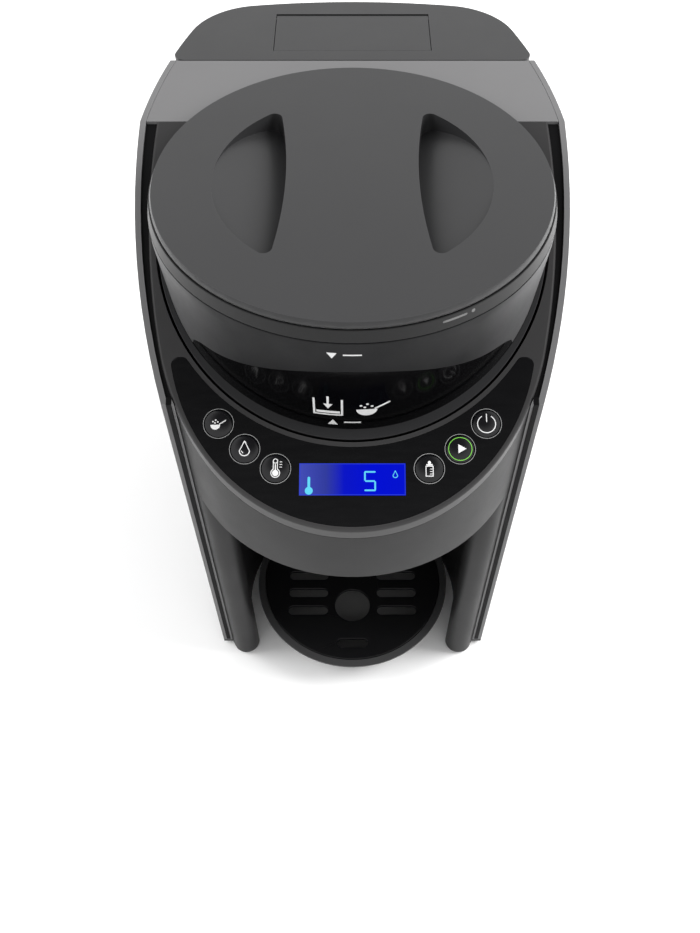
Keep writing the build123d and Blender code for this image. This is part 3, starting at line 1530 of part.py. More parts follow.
barb_cover = barb_length - 1
tank_hose_z = (socket_z + pump_top_z) / 2
tank_hose = hose([
    (barb_x, valve_y, socket_z - barb_length + barb_cover), (barb_x, valve_y, tank_hose_z),
    (pump_x, pump_y, tank_hose_z), (pump_x, pump_y, pump_top_z + barb_length - barb_cover)])
with BuildPart() as hose_tank_pump:
    add(tank_hose)
hose_tank_pump.part.label = "hose_tank_pump"
export_step(hose_tank_pump.part, "parts/hose_tank_pump.step")

pump_hose = hose([
    (pump_x - pump_radius - 1, pump_y, pipe_height), (pipe_turn_x, pump_y, pipe_height),
    (pipe_turn_x, heater_y, pipe_height), (heater_x + heater_radius + 1, heater_y, pipe_height)])
with BuildPart() as hose_pump_heater:
    add(pump_hose)
hose_pump_heater.part.label = "hose_pump_heater"
export_step(hose_pump_heater.part, "parts/hose_pump_heater.step")

nozzle_hose = hose([
    (heater_x, heater_y, heater_top_z + 1), (heater_x, heater_y, nozzle_z), (heater_x, outlet_y, nozzle_z),
    (nozzle_x - nozzle_block / 2 - 1, outlet_y, nozzle_z)])
with BuildPart() as hose_heater_nozzle:
    add(nozzle_hose)
hose_heater_nozzle.part.label = "hose_heater_nozzle"
export_step(hose_heater_nozzle.part, "parts/hose_heater_nozzle.step")

# ---- Cord inlet at the back ----
with BuildPart() as cord_gland:
    with BuildSketch(Plane.XZ.offset(-(rear_y - 0.5))):
        with Locations((0, gland_height)):
            Circle(gland_radius)
    extrude(amount=shell_wall)
    with BuildSketch(Plane.XZ.offset(-(rear_y - shell_wall - body_gap))):
        with Locations((0, gland_height)):
            Circle(gland_flange)
    extrude(amount=gland_flange_thickness)
    with BuildSketch(Plane.XZ.offset(-rear_y)):
        with Locations((0, gland_height)):
            Circle(gland_bore)
    extrude(amount=2 * shell_wall + gland_flange_thickness, mode=Mode.SUBTRACT)
cord_gland.part.label = "cord_gland"
export_step(cord_gland.part, "parts/cord_gland.step")
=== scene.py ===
import bpy
import bmesh
from math import atan2, cos, pi, radians, sin, sqrt, tan
from mathutils import Matrix, Vector
from mathutils.bvhtree import BVHTree


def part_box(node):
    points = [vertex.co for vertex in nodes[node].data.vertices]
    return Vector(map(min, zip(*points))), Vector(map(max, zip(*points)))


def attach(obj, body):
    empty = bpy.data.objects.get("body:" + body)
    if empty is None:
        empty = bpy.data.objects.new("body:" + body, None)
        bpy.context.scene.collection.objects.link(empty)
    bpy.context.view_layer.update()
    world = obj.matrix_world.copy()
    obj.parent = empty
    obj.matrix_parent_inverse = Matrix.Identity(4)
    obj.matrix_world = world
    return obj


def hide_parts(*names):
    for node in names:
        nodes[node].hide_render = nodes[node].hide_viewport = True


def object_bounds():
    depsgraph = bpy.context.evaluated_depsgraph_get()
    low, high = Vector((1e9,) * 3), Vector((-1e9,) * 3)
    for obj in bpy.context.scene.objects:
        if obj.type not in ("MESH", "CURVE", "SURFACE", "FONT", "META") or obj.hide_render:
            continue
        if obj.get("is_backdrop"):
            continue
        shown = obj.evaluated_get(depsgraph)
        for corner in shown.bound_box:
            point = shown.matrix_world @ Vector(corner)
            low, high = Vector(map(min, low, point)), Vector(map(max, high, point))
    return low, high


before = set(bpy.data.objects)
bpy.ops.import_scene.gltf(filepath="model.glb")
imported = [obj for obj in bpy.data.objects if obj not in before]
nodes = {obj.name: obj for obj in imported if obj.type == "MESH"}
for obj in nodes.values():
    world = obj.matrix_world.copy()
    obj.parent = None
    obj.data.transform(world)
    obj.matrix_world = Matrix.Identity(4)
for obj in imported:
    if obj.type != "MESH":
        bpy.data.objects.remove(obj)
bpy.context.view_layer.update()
print("frame loaded:", len(nodes), "nodes")

# places shared by many pieces, metres
drumBack = -0.020  # the drum's axis
outletBack = -0.0667  # powder outlet and middle of the stand
deckSlope = radians(24)
deckHeight = 0.3084  # the sloping deck's face, at the drum's axis
# the deck's own plane: x runs right and y runs up the slope
deckFace = Matrix.Translation((0, drumBack, deckHeight)) @ Matrix.Rotation(deckSlope, 4, "X")
mixFirst, mixSecond, mixResult = 6, 7, 2  # the Mix node's colour sockets


# finishes, whose tone, roughness and bump come from nodes
def newFinish(name, colour, rough, **sockets):
    finish = bpy.data.materials.new(name)
    finish.use_nodes = True
    tree = finish.node_tree
    shader = tree.nodes["Principled BSDF"]
    shader.inputs["Base Color"].default_value = (*colour, 1)
    shader.inputs["Roughness"].default_value = rough
    for socket, value in sockets.items():
        shader.inputs[socket.replace("_", " ")].default_value = value
    return finish, tree, shader


def objectPlace(tree, stretch=(1, 1, 1)):
    place = tree.nodes.new("ShaderNodeTexCoord")
    mapping = tree.nodes.new("ShaderNodeMapping")
    mapping.inputs["Scale"].default_value = stretch
    tree.links.new(place.outputs["Object"], mapping.inputs["Vector"])
    return mapping.outputs["Vector"]


def addNoise(tree, where, scale, detail=3, rough=0.5):
    noise = tree.nodes.new("ShaderNodeTexNoise")
    noise.inputs["Scale"].default_value = scale
    noise.inputs["Detail"].default_value = detail
    noise.inputs["Roughness"].default_value = rough
    tree.links.new(where, noise.inputs["Vector"])
    return noise.outputs["Fac"]


def spread(tree, value, low, high, fromLow=0.3, fromHigh=0.7):
    ranged = tree.nodes.new("ShaderNodeMapRange")
    ranged.inputs["From Min"].default_value = fromLow
    ranged.inputs["From Max"].default_value = fromHigh
    ranged.inputs["To Min"].default_value = low
    ranged.inputs["To Max"].default_value = high
    tree.links.new(value, ranged.inputs["Value"])
    return ranged.outputs["Result"]


def mixColours(tree, amount, first, second):
    mix = tree.nodes.new("ShaderNodeMix")
    mix.data_type = "RGBA"
    mix.inputs[mixFirst].default_value = (*first, 1)
    mix.inputs[mixSecond].default_value = (*second, 1)
    tree.links.new(amount, mix.inputs[0])
    return mix.outputs[mixResult]


# one fixed colour mixed over a tone that comes from other nodes
def mixOver(tree, amount, tone, colour):
    mix = tree.nodes.new("ShaderNodeMix")
    mix.data_type = "RGBA"
    mix.inputs[mixSecond].default_value = (*colour, 1)
    tree.links.new(tone, mix.inputs[mixFirst])
    tree.links.new(amount, mix.inputs[0])
    return mix.outputs[mixResult]


# 0 where a surface is seen face on, 1 where it is seen edge on
def seenEdgeOn(tree):
    lean = tree.nodes.new("ShaderNodeLayerWeight")
    lean.inputs["Blend"].default_value = 0.5
    return lean.outputs["Facing"]


def addBump(tree, shader, height, distance, strength):
    bump = tree.nodes.new("ShaderNodeBump")
    bump.inputs["Distance"].default_value = distance
    bump.inputs["Strength"].default_value = strength
    tree.links.new(height, bump.inputs["Height"])
    tree.links.new(bump.outputs["Normal"], shader.inputs["Normal"])


def tinted(colour, share):
    return tuple(c * share for c in colour)


# moulded plastic: fine spark-eroded grain, soft sink variation and slightly cleaner edges
def mouldedPlastic(name, colour, rough, grain=0.00002, grainScale=2600, wear=1.35, **sockets):
    finish, tree, shader = newFinish(name, colour, rough, **sockets)
    place = objectPlace(tree)
    broad = addNoise(tree, place, 9, 4)
    fine = addNoise(tree, place, grainScale, 2, 0.6)
    smudge = addNoise(tree, place, 42, 6, 0.62)
    tone = mixColours(tree, spread(tree, broad, 0, 1), tinted(colour, 0.97), tinted(colour, 1.03))
    rounded = tree.nodes.new("ShaderNodeBevel")
    rounded.samples = 4
    rounded.inputs["Radius"].default_value = 0.0007
    flat = tree.nodes.new("ShaderNodeNewGeometry")
    turned = tree.nodes.new("ShaderNodeVectorMath")
    turned.operation = "DOT_PRODUCT"
    tree.links.new(rounded.outputs["Normal"], turned.inputs[0])
    tree.links.new(flat.outputs["Normal"], turned.inputs[1])
    edgeShare = spread(tree, turned.outputs["Value"], 1, 0, 0.85, 0.98)
    worn = mixOver(tree, edgeShare, tone, tinted(colour, wear))
    tree.links.new(worn, shader.inputs["Base Color"])
    tree.links.new(spread(tree, smudge, rough * 0.93, rough * 1.08), shader.inputs["Roughness"])
    addBump(tree, shader, fine, grain, 0.8)
    return finish


# gloss plastic: very slight orange peel, faint wipe marks in the roughness
def glossPlastic(name, colour, rough, peel=0.000004, **sockets):
    finish, tree, shader = newFinish(name, colour, rough, **sockets)
    place = objectPlace(tree)
    wave = addNoise(tree, place, 120, 2, 0.4)
    wipes = addNoise(tree, objectPlace(tree, (1, 6, 1)), 60, 5, 0.65)
    dust = addNoise(tree, place, 900, 3, 0.7)
    tree.links.new(spread(tree, wipes, rough, rough * 1.7 + 0.015), shader.inputs["Roughness"])
    tone = mixColours(tree, spread(tree, dust, 0, 1, 0.6, 0.8), colour, tinted(colour, 1.3))
    tree.links.new(tone, shader.inputs["Base Color"])
    addBump(tree, shader, wave, peel, 0.6)
    return finish


# rubber and silicone: matt, with a little dust
def softRubber(name, colour, rough=0.75):
    finish, tree, shader = newFinish(name, colour, rough)
    place = objectPlace(tree)
    dust = addNoise(tree, place, 300, 5, 0.7)
    tone = mixColours(tree, spread(tree, dust, 0, 1, 0.5, 0.75), colour, tinted(colour, 1.8))
    tree.links.new(tone, shader.inputs["Base Color"])
    tree.links.new(spread(tree, dust, rough * 0.9, min(1, rough * 1.2)), shader.inputs["Roughness"])
    addBump(tree, shader, addNoise(tree, place, 1800, 2), 0.00003, 0.7)
    return finish


# steel with fine drawn lines
def brushedSteel(name, colour=(0.55, 0.55, 0.57), rough=0.3):
    finish, tree, shader = newFinish(name, colour, rough, Metallic=1.0)
    lines = addNoise(tree, objectPlace(tree, (1, 1, 40)), 160, 4, 0.7)
    tree.links.new(spread(tree, lines, rough * 0.75, rough * 1.35), shader.inputs["Roughness"])
    tone = mixColours(tree, spread(tree, lines, 0, 1), tinted(colour, 0.85), colour)
    tree.links.new(tone, shader.inputs["Base Color"])
    addBump(tree, shader, lines, 0.000006, 0.5)
    return finish


# fibreglass board: green lacquer over faint copper tracks
def circuitBoard(name):
    finish, tree, shader = newFinish(name, (0.01, 0.09, 0.03), 0.35)
    tracks = tree.nodes.new("ShaderNodeTexBrick")
    tracks.inputs["Scale"].default_value = 90
    tracks.inputs["Mortar Size"].default_value = 0.012
    tracks.inputs["Color1"].default_value = (0.008, 0.075, 0.024, 1)
    tracks.inputs["Color2"].default_value = (0.011, 0.095, 0.03, 1)
    tracks.inputs["Mortar"].default_value = (0.03, 0.19, 0.06, 1)
    tree.links.new(objectPlace(tree), tracks.inputs["Vector"])
    tree.links.new(tracks.outputs["Color"], shader.inputs["Base Color"])
    weave = addNoise(tree, objectPlace(tree, (3, 1, 1)), 900, 2)
    tree.links.new(spread(tree, weave, 0.28, 0.46), shader.inputs["Roughness"])
    addBump(tree, shader, tracks.outputs["Fac"], 0.00003, 0.5)
    return finish


# smoked gloss: near black face on, with a painted sheen that turns its colour greyer where it is seen edge on
def smokedGloss(name, colour, paintedSheenColour, rough, specular, streaks=5):
    finish, tree, shader = newFinish(name, colour, rough, Specular_IOR_Level=specular)
    place = objectPlace(tree)
    # painted sheen: a grey mixed into the base colour by how edge on the surface is seen
    paintedSheenShare = spread(tree, seenEdgeOn(tree), 0, 1, 0.55, 0.98)
    haze = addNoise(tree, place, 35, 5, 0.6)
    deep = mixColours(tree, spread(tree, haze, 0, 1), colour, tinted(colour, 1.5))
    tree.links.new(mixOver(tree, paintedSheenShare, deep, paintedSheenColour), shader.inputs["Base Color"])
    wipes = addNoise(tree, objectPlace(tree, (1, 1, streaks)), 55, 5, 0.65)
    tree.links.new(spread(tree, wipes, rough, rough * 1.4 + 0.01), shader.inputs["Roughness"])
    addBump(tree, shader, addNoise(tree, place, 90, 2, 0.4), 0.000004, 0.5)
    return finish


# lit display: backlight paler at the left end, faint dot grid of the cells, dark when seen from low down
def litDisplay(name):
    finish, tree, shader = newFinish(name, (0.0, 0.0, 0.002), 0.15, Specular_IOR_Level=0.08)
    place = objectPlace(tree)
    split = tree.nodes.new("ShaderNodeSeparateXYZ")
    tree.links.new(place, split.inputs["Vector"])
    glow = tree.nodes.new("ShaderNodeValToRGB")
    stops = glow.color_ramp.elements
    stops[0].color = (0.06, 0.08, 0.5, 1)
    stops[1].color = (0.001, 0.006, 0.66, 1)
    stops.new(0.25).color = (0.034, 0.048, 0.36, 1)
    stops.new(0.42).color = (0.003, 0.008, 0.6, 1)
    stops.new(0.7).color = (0.0004, 0.005, 0.7, 1)
    halfWidth = 0.0255
    tree.links.new(spread(tree, split.outputs["X"], 0, 1, -halfWidth, halfWidth), glow.inputs["Fac"])
    cells = tree.nodes.new("ShaderNodeTexBrick")
    cells.offset = 0
    cells.inputs["Scale"].default_value = 700
    cells.inputs["Mortar Size"].default_value = 0.04
    cells.inputs["Color1"].default_value = (1, 1, 1, 1)
    cells.inputs["Color2"].default_value = (0.97, 0.97, 0.97, 1)
    cells.inputs["Mortar"].default_value = (0.86, 0.86, 0.86, 1)
    tree.links.new(place, cells.inputs["Vector"])
    shade = tree.nodes.new("ShaderNodeMix")
    shade.data_type = "RGBA"
    shade.blend_type = "MULTIPLY"
    shade.inputs[0].default_value = 1
    tree.links.new(glow.outputs["Color"], shade.inputs[mixFirst])
    tree.links.new(cells.outputs["Color"], shade.inputs[mixSecond])
    tree.links.new(shade.outputs[mixResult], shader.inputs["Emission Color"])
    tree.links.new(spread(tree, seenEdgeOn(tree), 1, 0.03, 0.12, 0.32), shader.inputs["Emission Strength"])
    return finish


# a lit segment of the display, which fades when it is seen from low down
def litCell(name, colour):
    finish, tree, shader = newFinish(name, tinted(colour, 0.03), 0.3, Specular_IOR_Level=0.1)
    patch = addNoise(tree, objectPlace(tree), 500, 3)
    tone = mixColours(tree, spread(tree, patch, 0, 1), tinted(colour, 0.92), colour)
    tree.links.new(tone, shader.inputs["Emission Color"])
    fade = spread(tree, seenEdgeOn(tree), 0.95, 0.03, 0.12, 0.32)
    tree.links.new(fade, shader.inputs["Emission Strength"])
    tree.links.new(spread(tree, patch, 0.25, 0.35), shader.inputs["Roughness"])
    return finish


# screen-printed ink, a little uneven where it was pulled; a glow, where given, is a painted glow
def printedInk(name, colour, glow=0.0):
    finish, tree, shader = newFinish(name, colour, 0.55, Emission_Strength=glow)
    shader.inputs["Emission Color"].default_value = (*colour, 1)
    pull = addNoise(tree, objectPlace(tree, (1, 3, 1)), 700, 4, 0.6)
    tone = mixColours(tree, spread(tree, pull, 0, 1), tinted(colour, 0.88), colour)
    tree.links.new(tone, shader.inputs["Base Color"])
    tree.links.new(spread(tree, pull, 0.45, 0.65), shader.inputs["Roughness"])
    addBump(tree, shader, pull, 0.000005, 0.4)
    return finish


charcoal = (0.0095, 0.0093, 0.0096)
finishes = {
    "housing": mouldedPlastic("housing_satin", charcoal, 0.42, Specular_IOR_Level=0.2),
    "deck_grey": mouldedPlastic("deck_satin", (0.029, 0.0284, 0.029), 0.34, Specular_IOR_Level=0.4),
    "shell": mouldedPlastic("shell_satin", (0.142, 0.141, 0.143), 0.46, Specular_IOR_Level=0.22),
    "trim_black": mouldedPlastic("trim_matt_black", (0.003, 0.003, 0.0033), 0.6, Specular_IOR_Level=0.12),
    "base": mouldedPlastic("base_matt_black", (0.018, 0.018, 0.019), 0.62, grain=0.00004, grainScale=1500),
    "rubber": softRubber("feet_rubber", (0.02, 0.02, 0.021)),
    "screw": brushedSteel("screw_zinc", (0.5, 0.5, 0.5), 0.35),
    "panel_black": glossPlastic("panel_gloss_black", (0.003, 0.003, 0.0034), 0.13, Specular_IOR_Level=0.3),
    "lcd_glass": litDisplay("lcd_window"),
    "lcd_module": glossPlastic("lcd_frame_steel", (0.2, 0.2, 0.21), 0.35, Metallic=1.0),
    "board": circuitBoard("board_green"),
    "switch": mouldedPlastic("switch_black", (0.02, 0.02, 0.02), 0.45),
    "button": glossPlastic("button_gloss_black", (0.005, 0.005, 0.006), 0.13),
    "well": mouldedPlastic("well_black", (0.03, 0.03, 0.031), 0.42),
    "steel": brushedSteel("bracket_steel"),
    "gear": mouldedPlastic("gear_acetal", (0.72, 0.7, 0.64), 0.4, Subsurface_Weight=0.1),
    "motor": brushedSteel("motor_can", (0.42, 0.42, 0.43), 0.4),
    # the drum's grey towards its sides is painted sheen from its finish
    "drum": smokedGloss("drum_satin_painted_sheen", (0.011, 0.011, 0.0115), (0.12, 0.12, 0.122), 0.3, 0.1, streaks=1),
    "drum_base": glossPlastic("drum_base_smoked", (0.02, 0.02, 0.021), 0.2),
    "wheel": mouldedPlastic("wheel_grey", (0.3, 0.3, 0.3), 0.4),
    "lid": mouldedPlastic("lid_satin_black", (0.027, 0.027, 0.028), 0.36, grain=0.00001,
                          Specular_IOR_Level=0.45),
    "silicone": softRubber("seal_silicone", (0.4, 0.4, 0.4), 0.5),
    "funnel": glossPlastic("funnel_clear_grey", (0.12, 0.12, 0.12), 0.2),
    # the tank is greyed where seen edge on by painted sheen as well
    "tank": smokedGloss("tank_smoked_painted_sheen", (0.007, 0.0072, 0.008), (0.1, 0.1, 0.102), 0.1, 0.5),
    "pump": mouldedPlastic("pump_nylon", (0.55, 0.55, 0.52), 0.45),
    "steel_heater": brushedSteel("heater_steel", (0.6, 0.58, 0.55), 0.28),
    "hose": softRubber("hose_silicone", (0.6, 0.6, 0.58), 0.4),
    "stand_grey": mouldedPlastic("stand_satin", (0.045, 0.045, 0.046), 0.42),
    "grille_black": mouldedPlastic("grille_satin_black", (0.004, 0.004, 0.0045), 0.45,
                                   Specular_IOR_Level=0.3),
}
# finishes of pieces that share a slot with another finish
# near-black drum patch: partly a smoked window, partly painted reflection of the dark panel
reflectionWindowFinish = smokedGloss("smoked_pane_painted_reflection", (0.0011, 0.0011, 0.0013), (0.006, 0.006, 0.0062), 0.085, 0.15)
ledgeFinish = mouldedPlastic("ledge_satin", (0.019, 0.019, 0.02), 0.3, grain=0.000008,
                             Specular_IOR_Level=0.3)
collarFinish = mouldedPlastic("collar_satin", (0.0045, 0.0045, 0.0048), 0.38, grain=0.00001,
                              Specular_IOR_Level=0.35)
trayFinish = mouldedPlastic("tray_satin", (0.2, 0.2, 0.2), 0.45)
inks = {
    "white": printedInk("ink_white", (0.8, 0.8, 0.8)),
    "grey": printedInk("ink_grey", (0.16, 0.16, 0.16)),
    "silver": printedInk("ink_silver", (0.32, 0.32, 0.32)),
    # the green ink glows: a painted glow on print
    "green": printedInk("ink_green_painted_glow", (0.16, 0.5, 0.06), 0.5),
    "pale": printedInk("ink_pale", (0.42, 0.43, 0.44)),
    "blue": litCell("display_edge_blue", (0.03, 0.06, 0.75)),
    "cyan": litCell("display_cyan", (0.14, 0.74, 1.0)),
}
for node in nodes.values():
    for slot in node.material_slots:
        key = slot.material.name.split(".")[0]
        slot.material = finishes[key]
print("finishes:", len(finishes))

# camera, floor and light
view = {"lens": 34.73, "sensor": 36, "shift": -0.0026, "place": (0, -0.3845, 0.6101), "tilt": 35.81}
cameraData = bpy.data.cameras.new("camera")
cameraData.lens = view["lens"]
cameraData.sensor_width = view["sensor"]
cameraData.shift_x = view["shift"]
camera = bpy.data.objects.new("camera", cameraData)
camera.location = view["place"]
camera.rotation_euler = (radians(view["tilt"]), 0, 0)
bpy.context.scene.collection.objects.link(camera)
bpy.context.scene.camera = camera
bpy.context.scene.view_settings.view_transform = "Standard"

paper = {"size": 30, "white": 0.98, "rough": 0.9}
floorMesh = bpy.data.meshes.new("floor")
floorShape = bmesh.new()
bmesh.ops.create_grid(floorShape, x_segments=1, y_segments=1, size=paper["size"])
floorShape.to_mesh(floorMesh)
floorShape.free()
floor = bpy.data.objects.new("floor", floorMesh)
floorFinish = newFinish("floor_paper", (paper["white"],) * 3, paper["rough"], Specular_IOR_Level=0.0)[0]
floorMesh.materials.append(floorFinish)
bpy.context.scene.collection.objects.link(floor)
floor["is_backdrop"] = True

# white room, dark straight overhead
sky = {"strength": 0.96, "low": (1.0, 1.0, 1.0), "bend": (0.95, 0.95, 0.95), "bendAt": 0.88,
       "top": (0.12, 0.12, 0.12), "topAt": 0.97}
world = bpy.data.worlds.new("studio")
bpy.context.scene.world = world
world.use_nodes = True
worldTree = world.node_tree
direction = worldTree.nodes.new("ShaderNodeTexCoord")
split = worldTree.nodes.new("ShaderNodeSeparateXYZ")
worldTree.links.new(direction.outputs["Generated"], split.inputs["Vector"])
skyRamp = worldTree.nodes.new("ShaderNodeValToRGB")
skyStops = skyRamp.color_ramp.elements
skyStops[0].color = (*sky["low"], 1)
skyStops[1].position = sky["topAt"]
skyStops[1].color = (*sky["top"], 1)
skyStops.new(sky["bendAt"]).color = (*sky["bend"], 1)
worldTree.links.new(split.outputs["Z"], skyRamp.inputs["Fac"])
background = worldTree.nodes["Background"]
worldTree.links.new(skyRamp.outputs["Color"], background.inputs["Color"])
background.inputs["Strength"].default_value = sky["strength"]

# one soft box on each side, the right one stronger
softBox = {"side": 1.4, "back": 0.1, "height": 1.3, "target": (0, 0, 0.15), "size": (1.0, 1.2)}
for side, name, power in ((-1, "left_box", 19), (1, "right_box", 38)):
    lampData = bpy.data.lights.new(name, "AREA")
    lampData.shape = "RECTANGLE"
    lampData.size, lampData.size_y = softBox["size"]
    lampData.energy = power
    lamp = bpy.data.objects.new(name, lampData)
    lamp.location = (side * softBox["side"], softBox["back"], softBox["height"])
    lamp.rotation_mode = "QUATERNION"
    aim = Vector(softBox["target"]) - Vector((side * softBox["side"], softBox["back"], softBox["height"]))
    lamp.rotation_quaternion = aim.to_track_quat("-Z", "Y")
    lamp.visible_glossy = False
    bpy.context.scene.collection.objects.link(lamp)
print("stage ready")


# turns a finished shape into a piece that rides on a body; thick and bevel are in metres, smooth in degrees
def putPiece(name, shape, finish, body, slotName, smooth=32, bevel=0.0, thick=0.0, replaced=()):
    mesh = bpy.data.meshes.new(name)
    bmesh.ops.recalc_face_normals(shape, faces=shape.faces)
    for face in shape.faces:
        face.smooth = True
    shape.to_mesh(mesh)
    shape.free()
    mesh.set_sharp_from_angle(angle=radians(smooth))
    mesh.materials.append(finish)
    piece = bpy.data.objects.new(name, mesh)
    bpy.context.scene.collection.objects.link(piece)
    if thick:
        solid = piece.modifiers.new("thickness", "SOLIDIFY")
        solid.thickness = thick
        solid.offset = 0
    if bevel:
        softEdge = piece.modifiers.new("soft_edges", "BEVEL")
        softEdge.width = bevel
        softEdge.segments = 3
        softEdge.limit_method = "ANGLE"
        softEdge.angle_limit = radians(smooth)
        softEdge.face_strength_mode = "FSTR_ALL"
        evenFaces = piece.modifiers.new("even_faces", "WEIGHTED_NORMAL")
        evenFaces.use_face_influence = True
        evenFaces.weight = 100
    if replaced:
        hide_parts(*replaced)
    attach(piece, body)
    return piece


# a CAD node's own form, merged, with its moulded edges rounded
def softenedCopy(node, finish, body, slotName, bevel):
    shape = bmesh.new()
    shape.from_mesh(nodes[node].data)
    bmesh.ops.remove_doubles(shape, verts=shape.verts, dist=0.000004)
    putPiece(node + "_soft", shape, finish, body, slotName, bevel=bevel, replaced=(node,))


softened = {  # node: finish and slot, body, rounding
    "deck_frame": ("deck_grey", "machine", 0.0007),
    "front_housing": ("housing", "machine", 0.0006),
    "outer_shell": ("shell", "machine", 0.0008),
    "top_cover": ("shell", "machine", 0.0006),
    "container_lid": ("lid", "lid", 0.0007),
    "bottle_stand": ("stand_grey", "stand", 0.0007),
    "stand_grille": ("grille_black", "grille", 0.0006),
    "tank_lid": ("lid", "tank", 0.0008),
    "fill_flap": ("lid", "flap", 0.0005),
    "water_tank": ("tank", "tank", 0.0008),
    "control_panel": ("panel_black", "machine", 0.0003),
    "container_well": ("well", "machine", 0.0004),
}
for node, (key, body, width) in softened.items():
    softenedCopy(node, finishes[key], body, key, width)
print("softened shells:", len(softened))


# a closed outline of (radius, height) points turned round an upright axis
def spunPiece(name, outline, back, finish, body, slotName, steps, **ways):
    shape = bmesh.new()
    corners = [shape.verts.new((0, back - radius, height)) for radius, height in outline]
    for first, second in zip(corners, corners[1:]):
        shape.edges.new((first, second))
    shape.edges.new((corners[-1], corners[0]))
    bmesh.ops.spin(shape, geom=shape.verts[:] + shape.edges[:], axis=(0, 0, 1), cent=(0, back, 0),
                   steps=steps, angle=2 * pi, use_merge=True)
    bmesh.ops.remove_doubles(shape, verts=shape.verts, dist=0.000001)
    putPiece(name, shape, finish, body, slotName, **ways)


# powder drum: satin smoked wall that leans out towards its rim
drum = {"foot": 0.0908, "rim": 0.0992, "footHeight": 0.2303, "rimHeight": 0.326, "shoulder": 0.331,
        "neck": 0.0964, "neckInside": 0.0944, "footInside": 0.0882, "top": 0.3368}
spunPiece("drum_wall", [
    (drum["foot"], drum["footHeight"]), (drum["rim"], drum["rimHeight"]), (drum["rim"], drum["shoulder"]),
    (drum["neck"], drum["shoulder"]), (drum["neck"], drum["top"]), (drum["neckInside"], drum["top"]),
    (drum["neckInside"], drum["rimHeight"]), (drum["footInside"], drum["footHeight"]),
], drumBack, finishes["drum"], "container", "drum", steps=192, bevel=0.0005, smooth=20,
    replaced=("powder_container",))

# narrow ledge round the drum, over the gap to the deck: a flat ring, sheared up to the deck's slope and cut
# off behind
ledge = {"outside": 0.0989, "insideX": 0.0968, "insideY": 0.093, "thick": 0.0025, "under": 0.0003,
         "end": 0.312}
shape = bmesh.new()
bmesh.ops.create_circle(shape, segments=192, radius=ledge["outside"])
inner = bmesh.ops.create_circle(shape, segments=192, radius=1)["verts"]
bmesh.ops.scale(shape, vec=(ledge["insideX"], ledge["insideY"], 1), verts=inner)
bmesh.ops.bridge_loops(shape, edges=shape.edges[:])
lean = Matrix(((1, 0, 0, 0), (0, 1, 0, 0), (0, tan(deckSlope), 1, 0), (0, 0, 0, 1)))
place = Matrix.Translation((0, drumBack, deckHeight - ledge["under"] / cos(deckSlope)))
bmesh.ops.transform(shape, matrix=place @ lean, verts=shape.verts)
bmesh.ops.bisect_plane(shape, geom=shape.verts[:] + shape.edges[:] + shape.faces[:],
                       plane_co=(0, 0, ledge["end"]), plane_no=(0, 0, 1), clear_outer=True)
bmesh.ops.recalc_face_normals(shape, faces=shape.faces)
bmesh.ops.solidify(shape, geom=shape.faces[:], thickness=ledge["thick"])
putPiece("drum_ledge", shape, ledgeFinish, "container", "drum", bevel=0.0004, smooth=40)

# collar band round the drum's neck
collar = {"inside": 0.0967, "foot": 0.0992, "top": 0.0978, "low": 0.3313, "high": 0.3376}
spunPiece("lid_collar_ring", [
    (collar["foot"], collar["low"]), (collar["top"], collar["high"]), (collar["inside"], collar["high"]),
    (collar["inside"], collar["low"]),
], drumBack, collarFinish, "lid", "lid", steps=192, bevel=0.0004, replaced=("lid_collar",))

# the stand's drain dish lies on the bowl's floor, paler than the bowl round it
dish = {"reach": 0.0535, "rim": 0.003, "flat": 0.012, "hole": 0.0002, "floor": 0.0022, "low": 0.0006,
        "high": 0.0012}
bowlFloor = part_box("bottle_stand")[0][2] + dish["floor"]
spunPiece("stand_dish", [
    (dish["hole"], bowlFloor + dish["low"]), (dish["flat"], bowlFloor + dish["low"]),
    (dish["reach"] - dish["rim"], bowlFloor + dish["high"]), (dish["reach"], bowlFloor + dish["high"]),
    (dish["reach"], bowlFloor), (dish["hole"], bowlFloor),
], outletBack, trayFinish, "stand", "stand_grey", steps=96, bevel=0.0003)


# flat marks, drawn in a plane at (u, v) and then laid on what carries them
def addDisc(shape, u, v, radius, segments=32):
    bmesh.ops.create_circle(shape, cap_ends=True, segments=segments, radius=radius,
                            matrix=Matrix.Translation((u, v, 0)))


# gap leaves the ring open at its top, that many radians to each side
def addRing(shape, u, v, radius, width, gap=0.0):
    there = Matrix.Translation((u, v, 0))
    outer = bmesh.ops.create_circle(shape, segments=72, radius=radius, matrix=there)["verts"]
    inner = bmesh.ops.create_circle(shape, segments=72, radius=radius - width, matrix=there)["verts"]
    rims = {edge for vert in outer + inner for edge in vert.link_edges}
    opened = []
    for face in bmesh.ops.bridge_loops(shape, edges=list(rims))["faces"]:
        middle = face.calc_center_median()
        if abs(atan2(middle.x - u, middle.y - v)) < gap:
            opened.append(face)
    bmesh.ops.delete(shape, geom=opened, context="FACES")


def addBar(shape, u, v, length, width, turn=0.0, roundEnds=False):
    along = Vector((cos(turn), sin(turn)))
    place = Matrix.Translation((u, v, 0)) @ Matrix.Rotation(turn, 4, "Z")
    place = place @ Matrix.Diagonal((length, width, 1, 1))
    bmesh.ops.create_grid(shape, x_segments=2, y_segments=1, size=0.5, matrix=place)
    if roundEnds:
        for side in (-0.5, 0.5):
            addDisc(shape, u + along.x * side * length, v + along.y * side * length, width / 2, 16)


scoop = {"out": 1.45, "up": 0.52, "length": 1.5, "turn": radians(33)}  # the handle, in bowl radii


